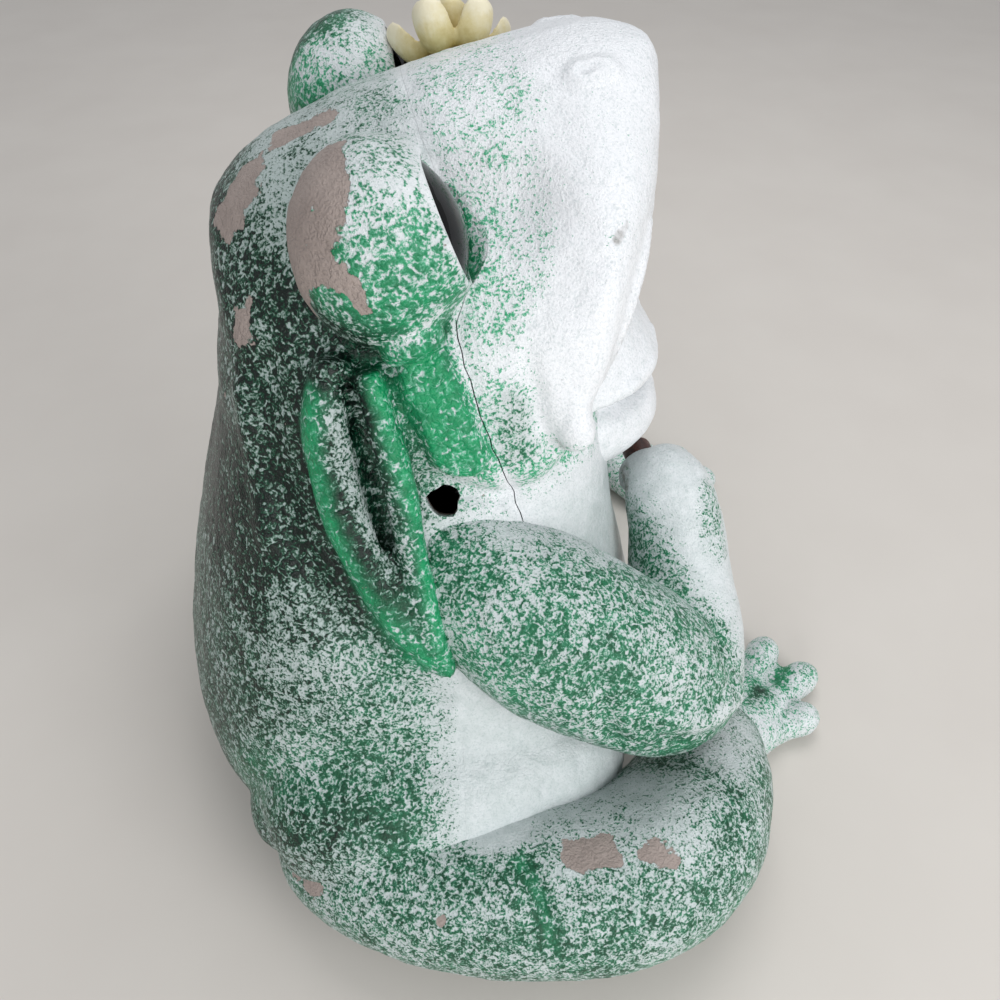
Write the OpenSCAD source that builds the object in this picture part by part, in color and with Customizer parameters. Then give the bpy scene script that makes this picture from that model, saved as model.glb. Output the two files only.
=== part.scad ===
// Seated garden frog: a hollow two-part casting with cast limbs, glass eyes, a carved flower
// and a stick held in both fists. The frog faces +X and rests on its base plate at z = 0.

/* [Body] */
// Height of the body casting, up to where it ends inside the head
body_h = 185; // [150:1:220]
// Reach of the rump behind the origin
body_back = 77; // [65:1:90]
// Reach of the belly in front of the origin
body_front = 88; // [76:1:100]
// Half width of the body at its widest
body_half_w = 103; // [85:1:120]
// Thickness of the casting's wall
wall = 6; // [4:0.5:8]
// Length of the inner lip that joins the two castings
lip_len = 5; // [3:0.5:8]
// Thickness of the plate that closes the base
plate_t = 4; // [3:0.5:6]
// Diameter of the vent hole in the base plate
vent_d = 16; // [8:1:24]
// Distance of the vent hole behind the origin
vent_back = 36; // [20:1:44]
// Width of the ragged hole in the near flank
damage_w = 7; // [4:0.5:10]

/* [Head] */
// Length of the head from nape to snout
head_len = 119; // [100:1:135]
// Reach of the nape behind the origin
head_back = 37; // [30:1:44]
// Height of the head from jowl to crown
head_h = 108; // [90:1:130]
// Half width of the head at the cheeks
head_half_w = 62; // [52:1:72]
// Width of a skin strap behind the cheek
strap_w = 15; // [10:0.5:20]
// Width of the fold that ends in the drooping mouth corner
fold_w = 11; // [8:0.5:15]
// Half width of the lower jaw
jaw_half_w = 43; // [34:1:50]
// Reach of the lower lip in front of the origin
jaw_reach = 92; // [85:0.5:98]
// Width of a nostril's raised rim
nostril_w = 12; // [8:0.5:15]
// Outward tilt of a nostril, in degrees
nostril_tilt = 28; // [15:1:40]

/* [Eyes] */
// Length of an eye bulb from back to rim
eye_d = 41; // [36:1:48]
// Height of an eye bulb
eye_h = 48; // [40:1:56]
// Distance between the eye bulbs' centres
eye_gap = 86; // [72:1:94]
// Distance of the eyes in front of the origin
eye_x = 7; // [0:1:14]
// Depth of the eyes' centres below the crown
eye_drop = 30; // [24:1:36]
// Diameter of a glass eye
glass_d = 29; // [24:0.5:33]
// Height of the glass dome above its rim
glass_dome = 5; // [3:0.5:8]
// Upward tilt of the eyes, in degrees
eye_tilt = 19; // [8:1:26]
// Thickness of the lid round the glass
lid_t = 5; // [3:0.5:7]

/* [Arms] */
// Thickness of the upper arm
arm_w = 52; // [44:1:58]
// Reach of the elbow in front of the shoulder
arm_reach = 72; // [62:1:80]
// Thickness of a finger
finger_d = 8; // [6:0.5:10]
// Diameter of the dowel that pins a limb to the body
dowel_d = 8; // [6:0.5:12]

/* [Legs] */
// Thickness of the thigh, which rests on the ground
leg_w = 55; // [46:1:60]
// Length of the leg from the hip to the knee
leg_len = 116; // [100:1:126]
// Length of a foot from ankle to middle toe
foot_len = 60; // [50:1:68]
// Thickness of a toe
toe_d = 13; // [10:0.5:16]
// Thickness of a foot
foot_t = 12; // [9:0.5:14]

/* [Flower] */
// Length of an outer petal
petal_len = 13; // [10:0.5:18]
// Width of an outer petal
petal_w = 12; // [9:0.5:14]
// Thickness of a petal
petal_t = 4; // [2.5:0.5:5]
// Number of outer petals
petal_count = 6; // [5:1:9]
// Diameter of the flower's cup
cup_d = 19; // [15:0.5:24]
// Outward tilt of the flower on the head's slope, in degrees
flower_tilt = 40; // [30:1:48]
// Outward lean of an outer petal, in degrees
outer_lean = 32; // [20:1:45]
// Outward lean of an inner petal, in degrees
inner_lean = 8; // [4:1:16]

/* [Held stick] */
// Diameter of the stick
rod_d = 5; // [4:0.5:6]
// Length of the stick
rod_len = 90; // [84:1:100]
// Diameter of the collar on the stick
collar_d = 10; // [8:0.5:12]
// Length of the collar
collar_len = 9; // [6:0.5:12]
// Running clearance between the stick and the fists
rod_clear = 0.3; // [0.2:0.05:0.5]

/* [Hidden] */

// Overrun of every cut
over = 1;
// Gap between seated pieces that may not touch
seat_gap = 0.2;
// Sides of a ring on the body, a limb and a small form
body_sides = 28;
limb_sides = 14;
small_sides = 8;
// Rings along the body, the head, a limb and a small form
body_rings = 13;
head_rings = 14;
limb_rings = 12;
small_rings = 6;
// Sides and rings inside the casting, where fewer will do
inner_sides = 16;
inner_rings = 8;

white_paint = [0.92, 0.92, 0.94];
green_paint = [0.13, 0.55, 0.33];
cream_paint = [0.94, 0.9, 0.74];

// Squareness of a body ring
square_power = 0.74;
// Body rows, bottom to top: shares of height, rump reach, belly reach and half width
body_shares = [
    [0, 0.82, 0.86, 0.82], [0.04, 0.92, 0.96, 0.93], [0.16, 1, 1.01, 1], [0.3, 0.99, 0.99, 1],
    [0.43, 0.91, 0.93, 0.93], [0.57, 0.79, 0.86, 0.82], [0.7, 0.67, 0.83, 0.69],
    [0.81, 0.58, 0.78, 0.59], [0.92, 0.52, 0.7, 0.52], [1, 0.4, 0.5, 0.4]];
// Head rows, nape to snout: shares of length, crown height, jowl height and half width
head_shares = [
    [0, 0.6, 0.44, 0.3], [0.03, 0.68, 0.28, 0.56], [0.13, 0.78, 0.13, 0.8],
    [0.25, 0.845, 0.05, 0.91],
    [0.43, 0.91, 0.01, 0.98], [0.6, 0.955, 0.03, 1], [0.72, 0.98, 0.12, 0.99], [0.8, 0.995, 0.3, 0.92],
    [0.87, 1, 0.47, 0.74], [0.93, 0.99, 0.56, 0.54], [0.97, 0.975, 0.62, 0.36], [1, 0.93, 0.7, 0.12]];
// Half outline of the head across, from crown to chin: shares of half width and height
head_half_shares = [
    [0, 1], [0.2, 0.98], [0.37, 0.92], [0.54, 0.81], [0.73, 0.66], [0.92, 0.46],
    [1, 0.25], [0.96, 0.09], [0.8, 0.02], [0.4, 0], [0, 0]];
// Height of the jowls as a share of the body's height
jowl_share = 0.7;
// Height of the jaw's chin as a share of the jowls' height, and of the jaw as one of the head's
chin_share = 0.87;
jaw_share = 0.68;
// Lower jaw rows, chin to upper lip: shares of jaw height, reach and half width
jaw_shares = [
    [0, 0.72, 0.8], [0.12, 0.87, 0.92], [0.2, 0.97, 0.98], [0.31, 1, 1],
    [0.41, 0.96, 0.98], [0.47, 0.89, 0.94], [0.55, 0.965, 1], [0.66, 0.93, 1],
    [0.78, 0.86, 0.96], [0.9, 0.8, 0.9], [1, 0.72, 0.8]];
// Place of the shoulders in front of the origin, as a share of the belly's reach
shoulder_share = 0.14;
// Arm rows, shoulder to knuckles: shares of reach, half body width, jowl height and arm width
arm_shares = [
    [-0.02, 0.47, 0.98, 0.28], [0.13, 0.62, 0.9, 0.42], [0.39, 0.757, 0.795, 0.52],
    [0.72, 0.825, 0.664, 0.51], [0.95, 0.82, 0.556, 0.47], [1.07, 0.71, 0.59, 0.39],
    [1.11, 0.56, 0.68, 0.33], [1.12, 0.44, 0.77, 0.3], [1.1, 0.35, 0.83, 0.28], [1.07, 0.25, 0.84, 0.2]];
// Stick's place in front of the shoulder, and its height, as shares of arm reach and jowl height
rod_share = [1.05, 0.826];
// Fist's inner face as a share of the body's half width
fist_share = 0.225;
// Fingers along the stick, counted in finger widths from the fist's inner face
finger_shares = [0.5, 1.6, 2.7];
// Hip's place behind the origin, as a share of the rump's reach
hip_share = 0.47;
// Leg rows, hip to ankle: shares of reach, leg width past the body's side, and radius and height
// by leg width
leg_shares = [
    [-0.17, -0.26, 0.12, 0.4], [-0.13, -0.22, 0.3, 0.42], [-0.03, -0.12, 0.43, 0.45],
    [0.2, 0.14, 0.48, 0.48],
    [0.48, 0.37, 0.5, 0.5], [0.78, 0.45, 0.5, 0.5], [0.99, 0.32, 0.5, 0.5], [1.12, 0.06, 0.45, 0.45],
    [1.2, -0.18, 0.38, 0.38], [1.26, -0.34, 0.3, 0.3], [1.3, -0.44, 0.14, 0.2]];
// Row of the leg that the foot grows from
ankle_row = 9;
// Toes, inner to outer: share of the foot's length and degrees turned inwards
toe_shares = [[0.84, 66], [0.98, 46], [1.02, 26], [0.82, 5]];
// Web between the toes: shares of the foot's thickness and of a toe's length
web_share = 0.6;
web_reach_share = 0.9;
// Depth that the sole is cut flat
sole_depth = foot_t / 24;
// Radius of the heel by the ankle's
heel_share = 0.7;
// Toe rows, heel to tip: share of the toe's length, and radius as shares of toe and heel radius
toe_row_shares = [
    [-0.2, 0, 0.6], [0.05, 0, 1], [0.4, 0.8, 0.35], [0.68, 0.95, 0], [0.88, 1, 0],
    [0.97, 0.85, 0], [1, 0.4, 0]];
// Seam below the eyes, cheek to base: shares of belly reach and crown height
seam_shares = [
    [0.29, 0.79], [0.32, 0.7], [0.39, 0.6], [0.43, 0.54], [0.36, 0.44], [0.16, 0.34], [0.1, 0.2]];
// Two straps behind a cheek: shares of belly reach and crown height, and radius by strap width
strap_shares = [
    [[0.03, 0.775, 0.3], [0.055, 0.7, 0.38], [0.08, 0.644, 0.38],
        [0.11, 0.568, 0.38], [0.11, 0.488, 0.36], [0.15, 0.434, 0.2]],
    [[-0.14, 0.758, 0.2], [-0.18, 0.674, 0.42], [-0.17, 0.602, 0.45],
        [-0.1, 0.522, 0.45], [0, 0.472, 0.4], [0.1, 0.43, 0.2]]];
// Raised block of a cheek, in the same shares
cheek_shares = [
    [0.1, 0.79, 0.3], [0.17, 0.75, 0.62], [0.25, 0.7, 0.7], [0.33, 0.65, 0.55], [0.37, 0.62, 0.2]];
// Fold that ends in the drooping mouth corner, in the same shares by fold width
fold_shares = [
    [0.52, 0.86, 0.1], [0.51, 0.79, 0.28], [0.52, 0.745, 0.42], [0.55, 0.705, 0.52],
    [0.56, 0.668, 0.3]];
// Centre of the ragged hole: shares of belly reach and crown height
damage_place_shares = [0.17, 0.606];
// Outline of the ragged hole, as shares of its width
damage_shares = [
    [-0.5, -0.1], [-0.25, -0.5], [0.2, -0.42], [0.35, -0.1], [0.55, 0.15], [0.2, 0.5],
    [-0.3, 0.4]];
// Nostril's place: shares of the head's length, half width and height
nostril_share = [0.815, 0.3, 0.945];
// Flower's place on the head: share of the cup ahead of an eye's rim, then half width and height
flower_share = [0.68, 0.45, 0.825];
// Rings that the petals stand on, as shares of the cup, and an inner petal's length by an outer one's
outer_ring_share = 0.42;
inner_ring_share = 0.17;
inner_len_share = 1.2;
// Heart of the flower, as a share of the cup
heart_share = 0.11;
// Petal rows, base to tip: shares of length, width, thickness and outward lean
petal_shares = [
    [0, 0.7, 1, 0], [0.25, 0.95, 1, 0.12], [0.55, 1, 0.9, 0.2], [0.85, 0.85, 0.75, 0.2],
    [1, 0.4, 0.5, 0.12]];

jowl_z = body_h * jowl_share;
crown_z = jowl_z + head_h;

// Row between the chosen rows of a table, on a smooth curve through them
function row_at(t, u) =
    let (n = len(t) - 1, i = min(floor(u * n), n - 1), f = u * n - i,
        a = t[max(i - 1, 0)], b = t[i], c = t[i + 1], d = t[min(i + 2, n)])
    b + f / 2 * ((c - a) + f * ((2 * a - 5 * b + 4 * c - d) + f * (3 * b - a - 3 * c + d)));
function rows(t, count) = [for (i = [0:count]) row_at(t, i / count)];
function sum(v, i = 0) = i == len(v) - 1 ? v[i] : v[i] + sum(v, i + 1);
function mean(points) = sum(points) / len(points);
function unit(v) = v / norm(v);
function power(v, p) = sign(v) * pow(abs(v), p);

// Closed skin over rings that run counter-clockwise round the loft's direction
module skin(rings) {
    sides = len(rings[0]);
    last = len(rings) - 1;
    tip = (last + 1) * sides;
    polyhedron(
        points = concat([for (ring = rings) each ring], [mean(rings[0]), mean(rings[last])]),
        faces = concat(
            [for (i = [0:last - 1], j = [0:sides - 1]) let (k = (j + 1) % sides)
                each [[i * sides + j, (i + 1) * sides + j, (i + 1) * sides + k],
                    [i * sides + j, (i + 1) * sides + k, i * sides + k]]],
            [for (j = [0:sides - 1]) [tip, j, (j + 1) % sides]],
            [for (j = [0:sides - 1]) [tip + 1, last * sides + (j + 1) % sides, last * sides + j]]),
        convexity = 10);
}

// Limb along smooth rows of [x, y, z, radius]; no row runs along the upright
module limb(path, count = limb_rings, sides = limb_sides, upright = [0, 0, 1]) {
    smooth_rows = rows(path, count);
    centres = [for (r = smooth_rows) [r[0], r[1], r[2]]];
    skin([for (i = [0:count])
        let (d = unit(centres[min(i + 1, count)] - centres[max(i - 1, 0)]),
            u = unit(cross(upright, d)), v = cross(d, u))
        [for (j = [0:sides - 1]) let (a = 360 * j / sides)
            centres[i] + smooth_rows[i][3] * (cos(a) * u + sin(a) * v)]]);
}

// Place along a table's rows at which its first column reaches a value
function row_share(t, v, i = 0) = i == len(t) - 2 || v < t[i + 1][0]
    ? (i + (v - t[i][0]) / (t[i + 1][0] - t[i][0])) / (len(t) - 1) : row_share(t, v, i + 1);
function body_row(z) = row_at(body_shares, row_share(body_shares, min(z / body_h, 1)));

// Half width of the body's surface at a place
function body_side(x, z) =
    let (r = body_row(z), reach = x > 0 ? r[2] * body_front : r[1] * body_back)
    r[3] * body_half_w * pow(max(1 - pow(abs(x) / reach, 2 / square_power), 0), square_power / 2);

// Half width of the head's half outline at a share of its height; 1 from the cheeks down
function half_share(t, i = 0) = let (a = head_half_shares[i], b = head_half_shares[i + 1])
    t > b[1] ? a[0] + (t - a[1]) / (b[1] - a[1]) * (b[0] - a[0])
        : b[0] == 1 ? 1 : half_share(t, i + 1);
// Half width of the head's surface at a place
function head_side(x, z) =
    let (r = row_at(head_shares, row_share(head_shares, (x + head_back) / head_len)),
        t = ((z - jowl_z) / head_h - r[2]) / (r[1] - r[2]))
    half_share(t) * r[3] * head_half_w;
function cheek_side(x, z) = max(body_side(x, z), head_side(x, z));

// One horizontal body ring, drawn in by an inset
function body_ring(r, inset) = let (sides = inset > 0 ? inner_sides : body_sides)
    [for (j = [0:sides - 1])
        let (a = 360 * j / sides, c = power(cos(a), square_power), s = power(sin(a), square_power),
            reach = c > 0 ? r[2] * body_front : r[1] * body_back)
        [c * (reach - inset), s * (r[3] * body_half_w - inset)]];

module body_loft(inset = 0) {
    low = inset > 0 ? -over : 0;
    skin([for (r = rows(body_shares, inset > 0 ? inner_rings : body_rings))
        let (z = low + r[0] * (body_h - low - inset))
        [for (p = body_ring(r, inset)) [p[0], p[1], z]]]);
}

function head_x(u) = u * head_len - head_back;

// Upright head rings from nape to snout, drawn in by an inset
module head_loft(inset = 0) {
    // Least share of a ring that an inset leaves
    least = 0.12;
    step = inset > 0 ? 2 : 1;
    half_shares = [for (i = [0:step:len(head_half_shares) - 1]) head_half_shares[i]];
    half_count = len(half_shares) - 1;
    skin([for (r = rows(head_shares, inset > 0 ? inner_rings : head_rings))
        let (x = head_x(0.5) + (r[0] - 0.5) * (head_len - 2 * inset),
            w = max(r[3] * head_half_w - inset, least * r[3] * head_half_w),
            full = (r[1] - r[2]) * head_h, h = max(full - 2 * inset, least * full),
            mid = jowl_z + (r[1] + r[2]) * head_h / 2,
            left = [for (s = half_shares) [x, s[0] * w, mid + (s[1] - 0.5) * h]])
        concat([for (i = [0:half_count]) [x, -left[i][1], left[i][2]]],
            [for (i = [half_count - 1:-1:1]) left[i]])]);
}

// The right side is drawn; the left one is its mirror image
module on_side(left) {
    mirror([0, left ? 1 : 0, 0]) children();
}

module both_sides() {
    children();
    on_side(true) children();
}

eye_centre = [eye_x, -eye_gap / 2, crown_z - eye_drop];
glass_r = glass_d / 2;
// Distance of the glass eye's rim from the bulb's centre
rim_x = sqrt(pow(eye_d / 2, 2) - pow(glass_r, 2));
pupil_t = over;
// Depth of the socket below the rim
socket_depth = wall - pupil_t;
// Reach of the lid's edge in front of the rim
lid_reach = lid_t / 4;
// Depth of the hollow before a glass, as a share of its radius
scoop_share = 0.6;

// Frame of the right eye: +X looks out along the glass
module at_eye() {
    translate(eye_centre) rotate([0, -eye_tilt, 0]) children();
}

module turned_on_x() {
    rotate([0, 90, 0]) rotate_extrude() children();
}

module eye_bulb(inset = 0) {
    translate(eye_centre) rotate_extrude()
        polygon([for (i = [0:limb_sides]) let (a = 180 * i / limb_sides - 90)
            [(eye_d / 2 - inset) * cos(a), (eye_h / 2 - inset) * sin(a)]]);
}

// Collar of lid round the glass
module eye_lid() {
    inner_r = glass_r + seat_gap;
    at_eye() turned_on_x() polygon([[inner_r, rim_x - lid_t], [inner_r, rim_x + lid_reach],
        [inner_r + lid_t / 3, rim_x + lid_reach], [glass_r + lid_t, rim_x - lid_t]]);
}

// Body, head and eye bulbs in one, with a hollow before each glass
module figure_solid(inset = 0) {
    difference() {
        union() {
            body_loft(inset);
            head_loft(inset);
        }
        both_sides() at_eye() translate([rim_x + lid_reach, 0, 0])
            scale([scoop_share, 1, 1]) sphere(r = glass_r + lid_t / 2 + inset);
    }
    both_sides() difference() {
        eye_bulb(inset);
        at_eye() translate([rim_x - inset, -eye_d, -eye_d]) cube(2 * eye_d);
    }
}

// Rib that follows the figure's near side
module side_rib(shares, w) {
    limb([for (s = shares) let (x = s[0] * body_front, z = s[1] * crown_z)
            [x, -cheek_side(x, z), z, s[2] * w]],
        count = len(shares) + 2, sides = small_sides, upright = [0, 1, 0]);
}

module straps() {
    for (shares = strap_shares) side_rib(shares, strap_w);
}

module relief() {
    both_sides() {
        straps();
        side_rib(cheek_shares, strap_w);
        side_rib(fold_shares, fold_w);
        eye_lid();
    }
}

// Side outline of the seam, crown to base: beside the glass it is square to the eye
eye_way = [cos(eye_tilt), sin(eye_tilt)];
rim_way = [-sin(eye_tilt), cos(eye_tilt)];
rim_place = [eye_x, crown_z - eye_drop] + (rim_x + lid_reach + over) * eye_way;
seam_foot = [seam_shares[len(seam_shares) - 1][0] * body_front, 0];
seam = concat([rim_place + (eye_drop + glass_r) * rim_way, rim_place - glass_r * rim_way],
    [for (s = seam_shares) [s[0] * body_front, s[1] * crown_z]], [seam_foot]);

// Slab that follows the seam between two steps behind it
module seam_slab(from, to) {
    translate([0, 2 * body_half_w, 0]) rotate([90, 0, 0])
        linear_extrude(4 * body_half_w) polygon(concat([for (p = seam) p - [from, 0]],
            [for (i = [len(seam) - 1:-1:0]) seam[i] - [to, 0]]));
}

module behind_seam() {
    seam_slab(0, 2 * body_front + 2 * body_back);
}

module eye_sockets() {
    both_sides() at_eye() translate([rim_x - socket_depth - pupil_t, 0, 0]) rotate([0, 90, 0])
        cylinder(r = glass_r + seat_gap, h = socket_depth + pupil_t + lid_t);
}

// Place of an arm's dowel: shares of the arm's reach from the shoulder, and of the jowls' height
arm_dowel_share = [0.11, 0.87];
shoulder_x = shoulder_share * body_front;
// Places where the limbs' dowels enter the body: [x, z]
arm_dowel = [shoulder_x + arm_dowel_share[0] * arm_reach, arm_dowel_share[1] * jowl_z];
leg_dowel = [-hip_share * body_back + leg_w / 4, leg_w / 2];

module limb_dowel(place, clearance = 0) {
    y = body_side(place[0], place[1]);
    translate([place[0], -y + 2 * wall, place[1]]) rotate([90, 0, 0])
        cylinder(d = dowel_d + 2 * clearance, h = 3 * wall);
}

module dowel_holes() {
    both_sides() {
        limb_dowel(arm_dowel, seat_gap);
        limb_dowel(leg_dowel, seat_gap);
    }
}

module damage() {
    x = damage_place_shares[0] * body_front;
    z = damage_place_shares[1] * crown_z;
    translate([x, -cheek_side(x, z) + 2 * wall, z]) rotate([90, 0, 0])
        linear_extrude(4 * wall) polygon(damage_w * damage_shares);
}

petal_sides = 6;
cup_h = wall / 2;
cup_foot_share = 0.8;
cup_foot_d = cup_foot_share * cup_d;
// Depth of the cup's seat
cup_seat = wall / 4;

module at_flower() {
    translate([eye_x + rim_x + flower_share[0] * cup_d, flower_share[1] * head_half_w,
            jowl_z + flower_share[2] * head_h])
        rotate([-flower_tilt, 0, 0]) children();
}

module nostril_rims() {
    both_sides() translate([head_x(nostril_share[0]), -nostril_share[1] * head_half_w,
            jowl_z + nostril_share[2] * head_h])
        rotate([nostril_tilt, 0, 0]) rotate_extrude()
            translate([nostril_w / 3, 0]) circle(d = nostril_w / 3);
}

// Seat of the flower's cup in the crown
module flower_seat() {
    at_flower() {
        cylinder(d = cup_d + 2 * seat_gap, h = 2 * wall);
        translate([0, 0, -cup_seat]) cylinder(d = cup_foot_d + 2 * seat_gap, h = 2 * wall);
        translate([0, 0, -3 * wall - over]) cylinder(d = dowel_d + 2 * seat_gap, h = 4 * wall);
    }
}

module rear_shell() {
    color(green_paint) difference() {
        intersection() {
            union() {
                figure_solid();
                relief();
            }
            behind_seam();
        }
        figure_solid(wall);
        intersection() {
            figure_solid(wall / 2);
            seam_slab(-over, lip_len);
        }
        eye_sockets();
        dowel_holes();
        damage();
        flower_seat();
    }
}

module front_shell() {
    color(white_paint) difference() {
        union() {
            difference() {
                union() {
                    figure_solid();
                    both_sides() side_rib(fold_shares, fold_w);
                    nostril_rims();
                }
                behind_seam();
            }
            intersection() {
                figure_solid(wall / 2 + seat_gap);
                seam_slab(-over, lip_len - seat_gap);
            }
        }
        figure_solid(wall);
        flower_seat();
    }
}

module base_plate() {
    color(white_paint) difference() {
        linear_extrude(plate_t) polygon(body_ring(body_shares[0], wall + seat_gap));
        translate([-vent_back, 0, -over]) cylinder(d = vent_d, h = plate_t + 2 * over);
    }
}

// Jaw rings from chin to upper lip, cut by the body and the head
module lower_jaw() {
    low = chin_share * jowl_z;
    back = jaw_reach - 4 * wall;
    color(white_paint) difference() {
        skin([for (r = jaw_shares) let (z = low + r[0] * jaw_share * head_h)
            [for (j = [0:limb_sides]) let (a = 180 * j / limb_sides - 90,
                    c = power(cos(a), square_power), s = power(sin(a), square_power))
                [back / 2 + c * (r[1] * jaw_reach - back / 2), s * r[2] * jaw_half_w, z]]]);
        body_loft();
        head_loft();
    }
}

rod_x = shoulder_x + rod_share[0] * arm_reach;
rod_z = rod_share[1] * jowl_z;
fist_y = fist_share * body_half_w;

module fingers() {
    for (s = finger_shares)
        translate([rod_x, -fist_y - s * finger_d, rod_z]) rotate([90, 0, 0])
            rotate_extrude() translate([rod_d / 2 + finger_d / 2 - rod_clear, 0]) circle(d = finger_d);
}

module arm(left) {
    difference() {
        union() {
            difference() {
                on_side(left) difference() {
                    limb([for (s = arm_shares)
                        [shoulder_x + s[0] * arm_reach, -s[1] * body_half_w, s[2] * jowl_z,
                            s[3] * arm_w]]);
                    // The arm also ends where a strap's back edge stands off the body
                    for (back = [0, strap_w / 2]) translate([-back, 0, 0]) straps();
                }
                body_loft();
            }
            on_side(left) {
                fingers();
                limb_dowel(arm_dowel);
            }
        }
        // The right fist's bore is blind and the left one runs through
        on_side(left) translate([rod_x, -fist_y + over, rod_z]) rotate([90, 0, 0])
            cylinder(d = rod_d + 2 * rod_clear, h = left ? body_half_w : 3 * finger_d + over);
    }
}

module right_arm() {
    color(green_paint) arm(false);
}

module left_arm() {
    color(green_paint) arm(true);
}

function leg_row(s) = [s[0] * leg_len - hip_share * body_back, -body_half_w - s[1] * leg_w,
    s[3] * leg_w, s[2] * leg_w];

module leg_solid() {
    limb([for (s = leg_shares) leg_row(s)], count = len(leg_shares) + 3);
}

module leg(left) {
    difference() {
        on_side(left) leg_solid();
        body_loft();
    }
    on_side(left) limb_dowel(leg_dowel);
}

module right_leg() {
    color(green_paint) leg(false);
}

module left_leg() {
    color(green_paint) leg(true);
}

module foot() {
    ankle = leg_row(leg_shares[ankle_row]);
    toe_r = toe_d / 2;
    heel_r = heel_share * ankle[3];
    difference() {
        translate([ankle[0], ankle[1], 0]) {
            for (s = toe_shares) rotate([0, 0, s[1]])
                limb([for (q = toe_row_shares) let (r = q[1] * toe_r + q[2] * heel_r)
                        [q[0] * s[0] * foot_len, 0, r - sole_depth, r]],
                    count = small_rings, sides = small_sides);
            translate([0, 0, -over]) linear_extrude(web_share * foot_t + over) polygon(concat([[0, 0]],
                [for (s = toe_shares) web_reach_share * s[0] * foot_len * [cos(s[1]), sin(s[1])]]));
        }
        leg_solid();
        translate([0, -2 * body_half_w, -leg_w]) cube([4 * body_front, 2 * body_half_w, leg_w]);
    }
}

module right_foot() {
    color(green_paint) foot();
}

module left_foot() {
    color(green_paint) on_side(true) foot();
}

module eye_glass() {
    // Radius of the dome's sphere
    dome_r = (pow(glass_r, 2) + pow(glass_dome, 2)) / (2 * glass_dome);
    at_eye() turned_on_x() {
        translate([0, rim_x - socket_depth]) square([glass_r, socket_depth]);
        intersection() {
            translate([0, rim_x + glass_dome - dome_r]) circle(r = dome_r);
            translate([0, rim_x - over]) square([glass_r, glass_dome + over]);
        }
    }
}

module right_eye_glass() {
    color([0.5, 0.6, 0.6]) eye_glass();
}

module left_eye_glass() {
    color([0.5, 0.6, 0.6]) on_side(true) eye_glass();
}

module pupil() {
    at_eye() translate([rim_x - socket_depth - pupil_t, 0, 0]) rotate([0, 90, 0])
        cylinder(r = glass_r, h = pupil_t);
}

module right_pupil() {
    color([0.05, 0.05, 0.05]) pupil();
}

module left_pupil() {
    color([0.05, 0.05, 0.05]) on_side(true) pupil();
}

module flower_cup() {
    color(cream_paint) at_flower() {
        cylinder(d1 = cup_foot_d, d2 = cup_d, h = cup_h);
        translate([0, 0, -cup_seat]) cylinder(d = cup_foot_d, h = cup_seat + over);
        translate([0, 0, -3 * wall]) cylinder(d = dowel_d, h = 3 * wall);
    }
}

// One cupped petal that stands on the cup and leans outwards
module petal(size, lean) {
    // Depth by which the edges curl in
    curl = petal_w / 4;
    rotate([0, lean, 0]) skin([for (r = petal_shares)
        [for (j = [0:petal_sides - 1]) let (a = 360 * j / petal_sides)
            [r[3] * petal_len + r[2] * petal_t / 2 * cos(a) - curl * r[1] * pow(sin(a), 2),
                r[1] * petal_w / 2 * sin(a), r[0] * size]]]);
}

// Ring of petals cut flat where it sits on the cup
module petals(count, ring_r, size, lean) {
    color(cream_paint) at_flower() translate([0, 0, cup_h]) difference() {
        for (i = [0:count - 1])
            rotate([0, 0, 360 * i / count]) translate([ring_r, 0, 0]) petal(size, lean);
        translate([0, 0, -cup_h]) cylinder(d = 2 * cup_d, h = cup_h);
    }
}

module flower_outer_petals() {
    petals(petal_count, outer_ring_share * cup_d, petal_len, outer_lean);
}

module flower_inner_petals() {
    petals(petal_count - 2, inner_ring_share * cup_d, inner_len_share * petal_len, inner_lean);
}

module flower_heart() {
    color(cream_paint) at_flower() translate([0, 0, cup_h])
        cylinder(d = heart_share * cup_d, h = petal_len / 2);
}

module at_rod() {
    translate([rod_x, 0, rod_z]) rotate([-90, 0, 0]) children();
}

module rod() {
    start = -fist_y - 3 * finger_d + seat_gap;
    color([0.35, 0.5, 0.55]) at_rod() translate([0, 0, start]) cylinder(d = rod_d, h = rod_len);
}

module rod_collar() {
    color([0.25, 0.08, 0.06]) at_rod() translate([0, 0, -fist_y + seat_gap]) difference() {
        cylinder(d = collar_d, h = collar_len);
        translate([0, 0, -over]) cylinder(d = rod_d, h = collar_len + 2 * over);
    }
}

rear_shell();
front_shell();
base_plate();
lower_jaw();
right_arm();
left_arm();
right_leg();
left_leg();
right_foot();
left_foot();
right_eye_glass();
left_eye_glass();
right_pupil();
left_pupil();
flower_cup();
flower_outer_petals();
flower_inner_petals();
flower_heart();
rod();
rod_collar();
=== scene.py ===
# Seated garden frog: a painted two-part casting with glass eyes, a carved flower and a held stick
import math
import bpy
import numpy as np
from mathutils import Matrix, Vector
from mathutils.kdtree import KDTree


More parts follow.
